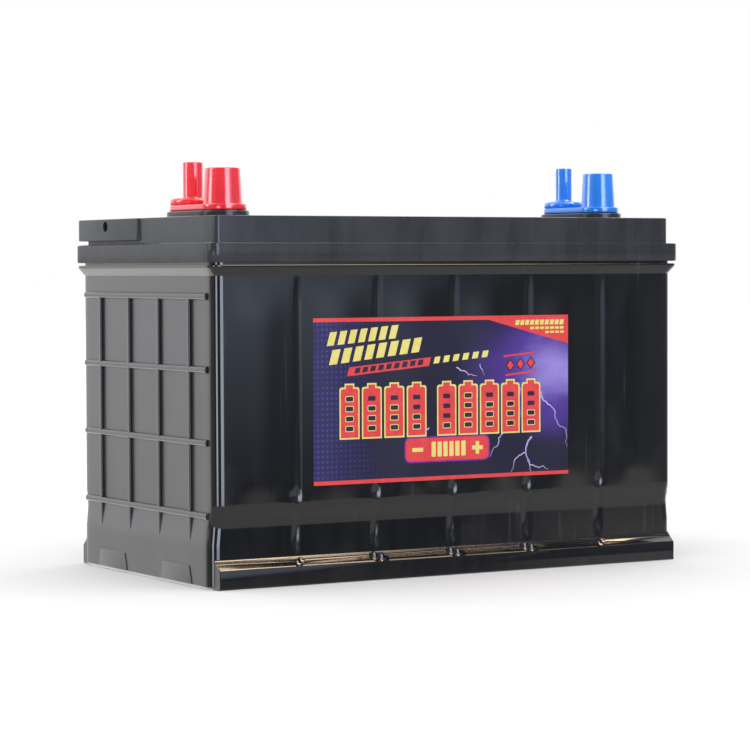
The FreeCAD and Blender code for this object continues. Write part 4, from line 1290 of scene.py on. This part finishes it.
# %% Cards
def card_group():
    """How far a direction lies inside a card: turn and height are in degrees, and every side fades over soft."""
    names = ("Turn", "Height", "From", "To", "Low", "High", "Soft")
    g, given = new_group("light_card", dict.fromkeys(names, 0.0), ["Mask"])
    mask = None
    for value, edge, sign in (("Turn", "From", 1.0), ("Turn", "To", -1.0),
                              ("Height", "Low", 1.0), ("Height", "High", -1.0)):
        inside = g.times(g.maths("SUBTRACT", given[value], given[edge]), sign)
        step = g.rise(g.maths("DIVIDE", inside, given["Soft"]), -1.0, 1.0)
        mask = g.times(mask, step) if mask else step
    g.add("NodeGroupOutput", Mask=mask)
    return g.tree


CARDS = [
    # from, to, low, high, soft (degrees), colour and strength
    ("left_room", -112, -42, -6, 60, 3, (0.62, 0.54, 0.49)),
    ("right_room", 66, 125, -4, 60, 5, (0.40, 0.42, 0.46)),
    ("ceiling", -181, 181, 58, 91, 8, (1.30, 1.30, 1.32)),
    ("backdrop_left", -181, -106, -7, 62, 5, (1.95, 1.96, 2.02)),
    ("backdrop_right", 125, 181, -7, 50, 5, (1.8, 1.8, 1.85)),
    ("table_front", -106, 64.5, -91, -6.8, 0.8, (0.98, 0.94, 0.92)),
    ("table_side", 64.5, 120, -91, -5.0, 0.8, (0.98, 0.95, 0.93)),
    ("table_back", -181, -100, -91, -5, 2, (1.35, 1.32, 1.30)),
    ("table_low", -181, -98, -91, -17, 4, (2.75, 2.70, 2.62)),
    ("table_right", 118, 181, -91, -5, 2, (2.0, 2.0, 2.0)),
    ("left_strip", -88, -70, 3.5, 60, 2, (8.5, 8.7, 9.0)),
    ("left_box", -26, -10, -7, 2.5, 2, (7.6, 8.2, 8.9)),
    ("front_fill", 40, 61.5, -2.0, 52, 3.5, (1.25, 1.45, 1.85)),
    ("front_box", 20, 46, -7, 60, 3, (6.6, 7.4, 8.8)),
    ("warm_card", 86, 126, 58.6, 82, 2.2, (25.0, 18.4, 12.6)),
    ("warm_card_low", 62, 86, 44.6, 60, 1.6, (12.0, 9.0, 6.2)),
]
UNLIT = (0.15, 0.17, 0.215)
SKY = (1.74, 1.74, 1.75)
WHITE = (1.0, 1.0, 1.0)
VIEW_WAY = Vector((sin(VIEW_TURN), cos(VIEW_TURN), 0))
RIGHT_WAY = Vector((cos(VIEW_TURN), -sin(VIEW_TURN), 0))


def studio():
    world = bpy.data.worlds.new("studio")
    bpy.context.scene.world = world
    world.use_nodes = True
    world.cycles.sampling_method = "NONE"
    g = Graph(world.node_tree)
    way = g.add("ShaderNodeTexCoord").outputs["Generated"]

    def towards(axis):
        node = g.add("ShaderNodeVectorMath", {"operation": "DOT_PRODUCT"})
        for socket, value in zip(node.inputs, (way, axis)):
            g.feed(socket, value)
        return node.outputs["Value"]

    turn = g.maths("DEGREES", g.maths("ARCTAN2", towards(RIGHT_WAY), towards(-VIEW_WAY)))
    height = g.maths("DEGREES", g.maths("ARCSINE", towards(Vector((0, 0, 1)))))
    group = card_group()
    mirrored = UNLIT
    for name, start, end, low, high, soft, colour in CARDS:
        card = g.add("ShaderNodeGroup", {"node_tree": group, "label": name}, Turn=turn, Height=height,
                     From=start, To=end, Low=low, High=high, Soft=soft)
        mirrored = g.mix(card.outputs["Mask"], mirrored, colour)
    rays = g.add("ShaderNodeLightPath").outputs
    lit = g.mix(rays["Is Diffuse Ray"], mirrored, SKY)
    g.feed(g.tree.nodes["Background"].inputs["Color"], g.mix(rays["Is Camera Ray"], lit, WHITE))


studio()
bpy.context.scene.view_settings.view_transform = "Standard"
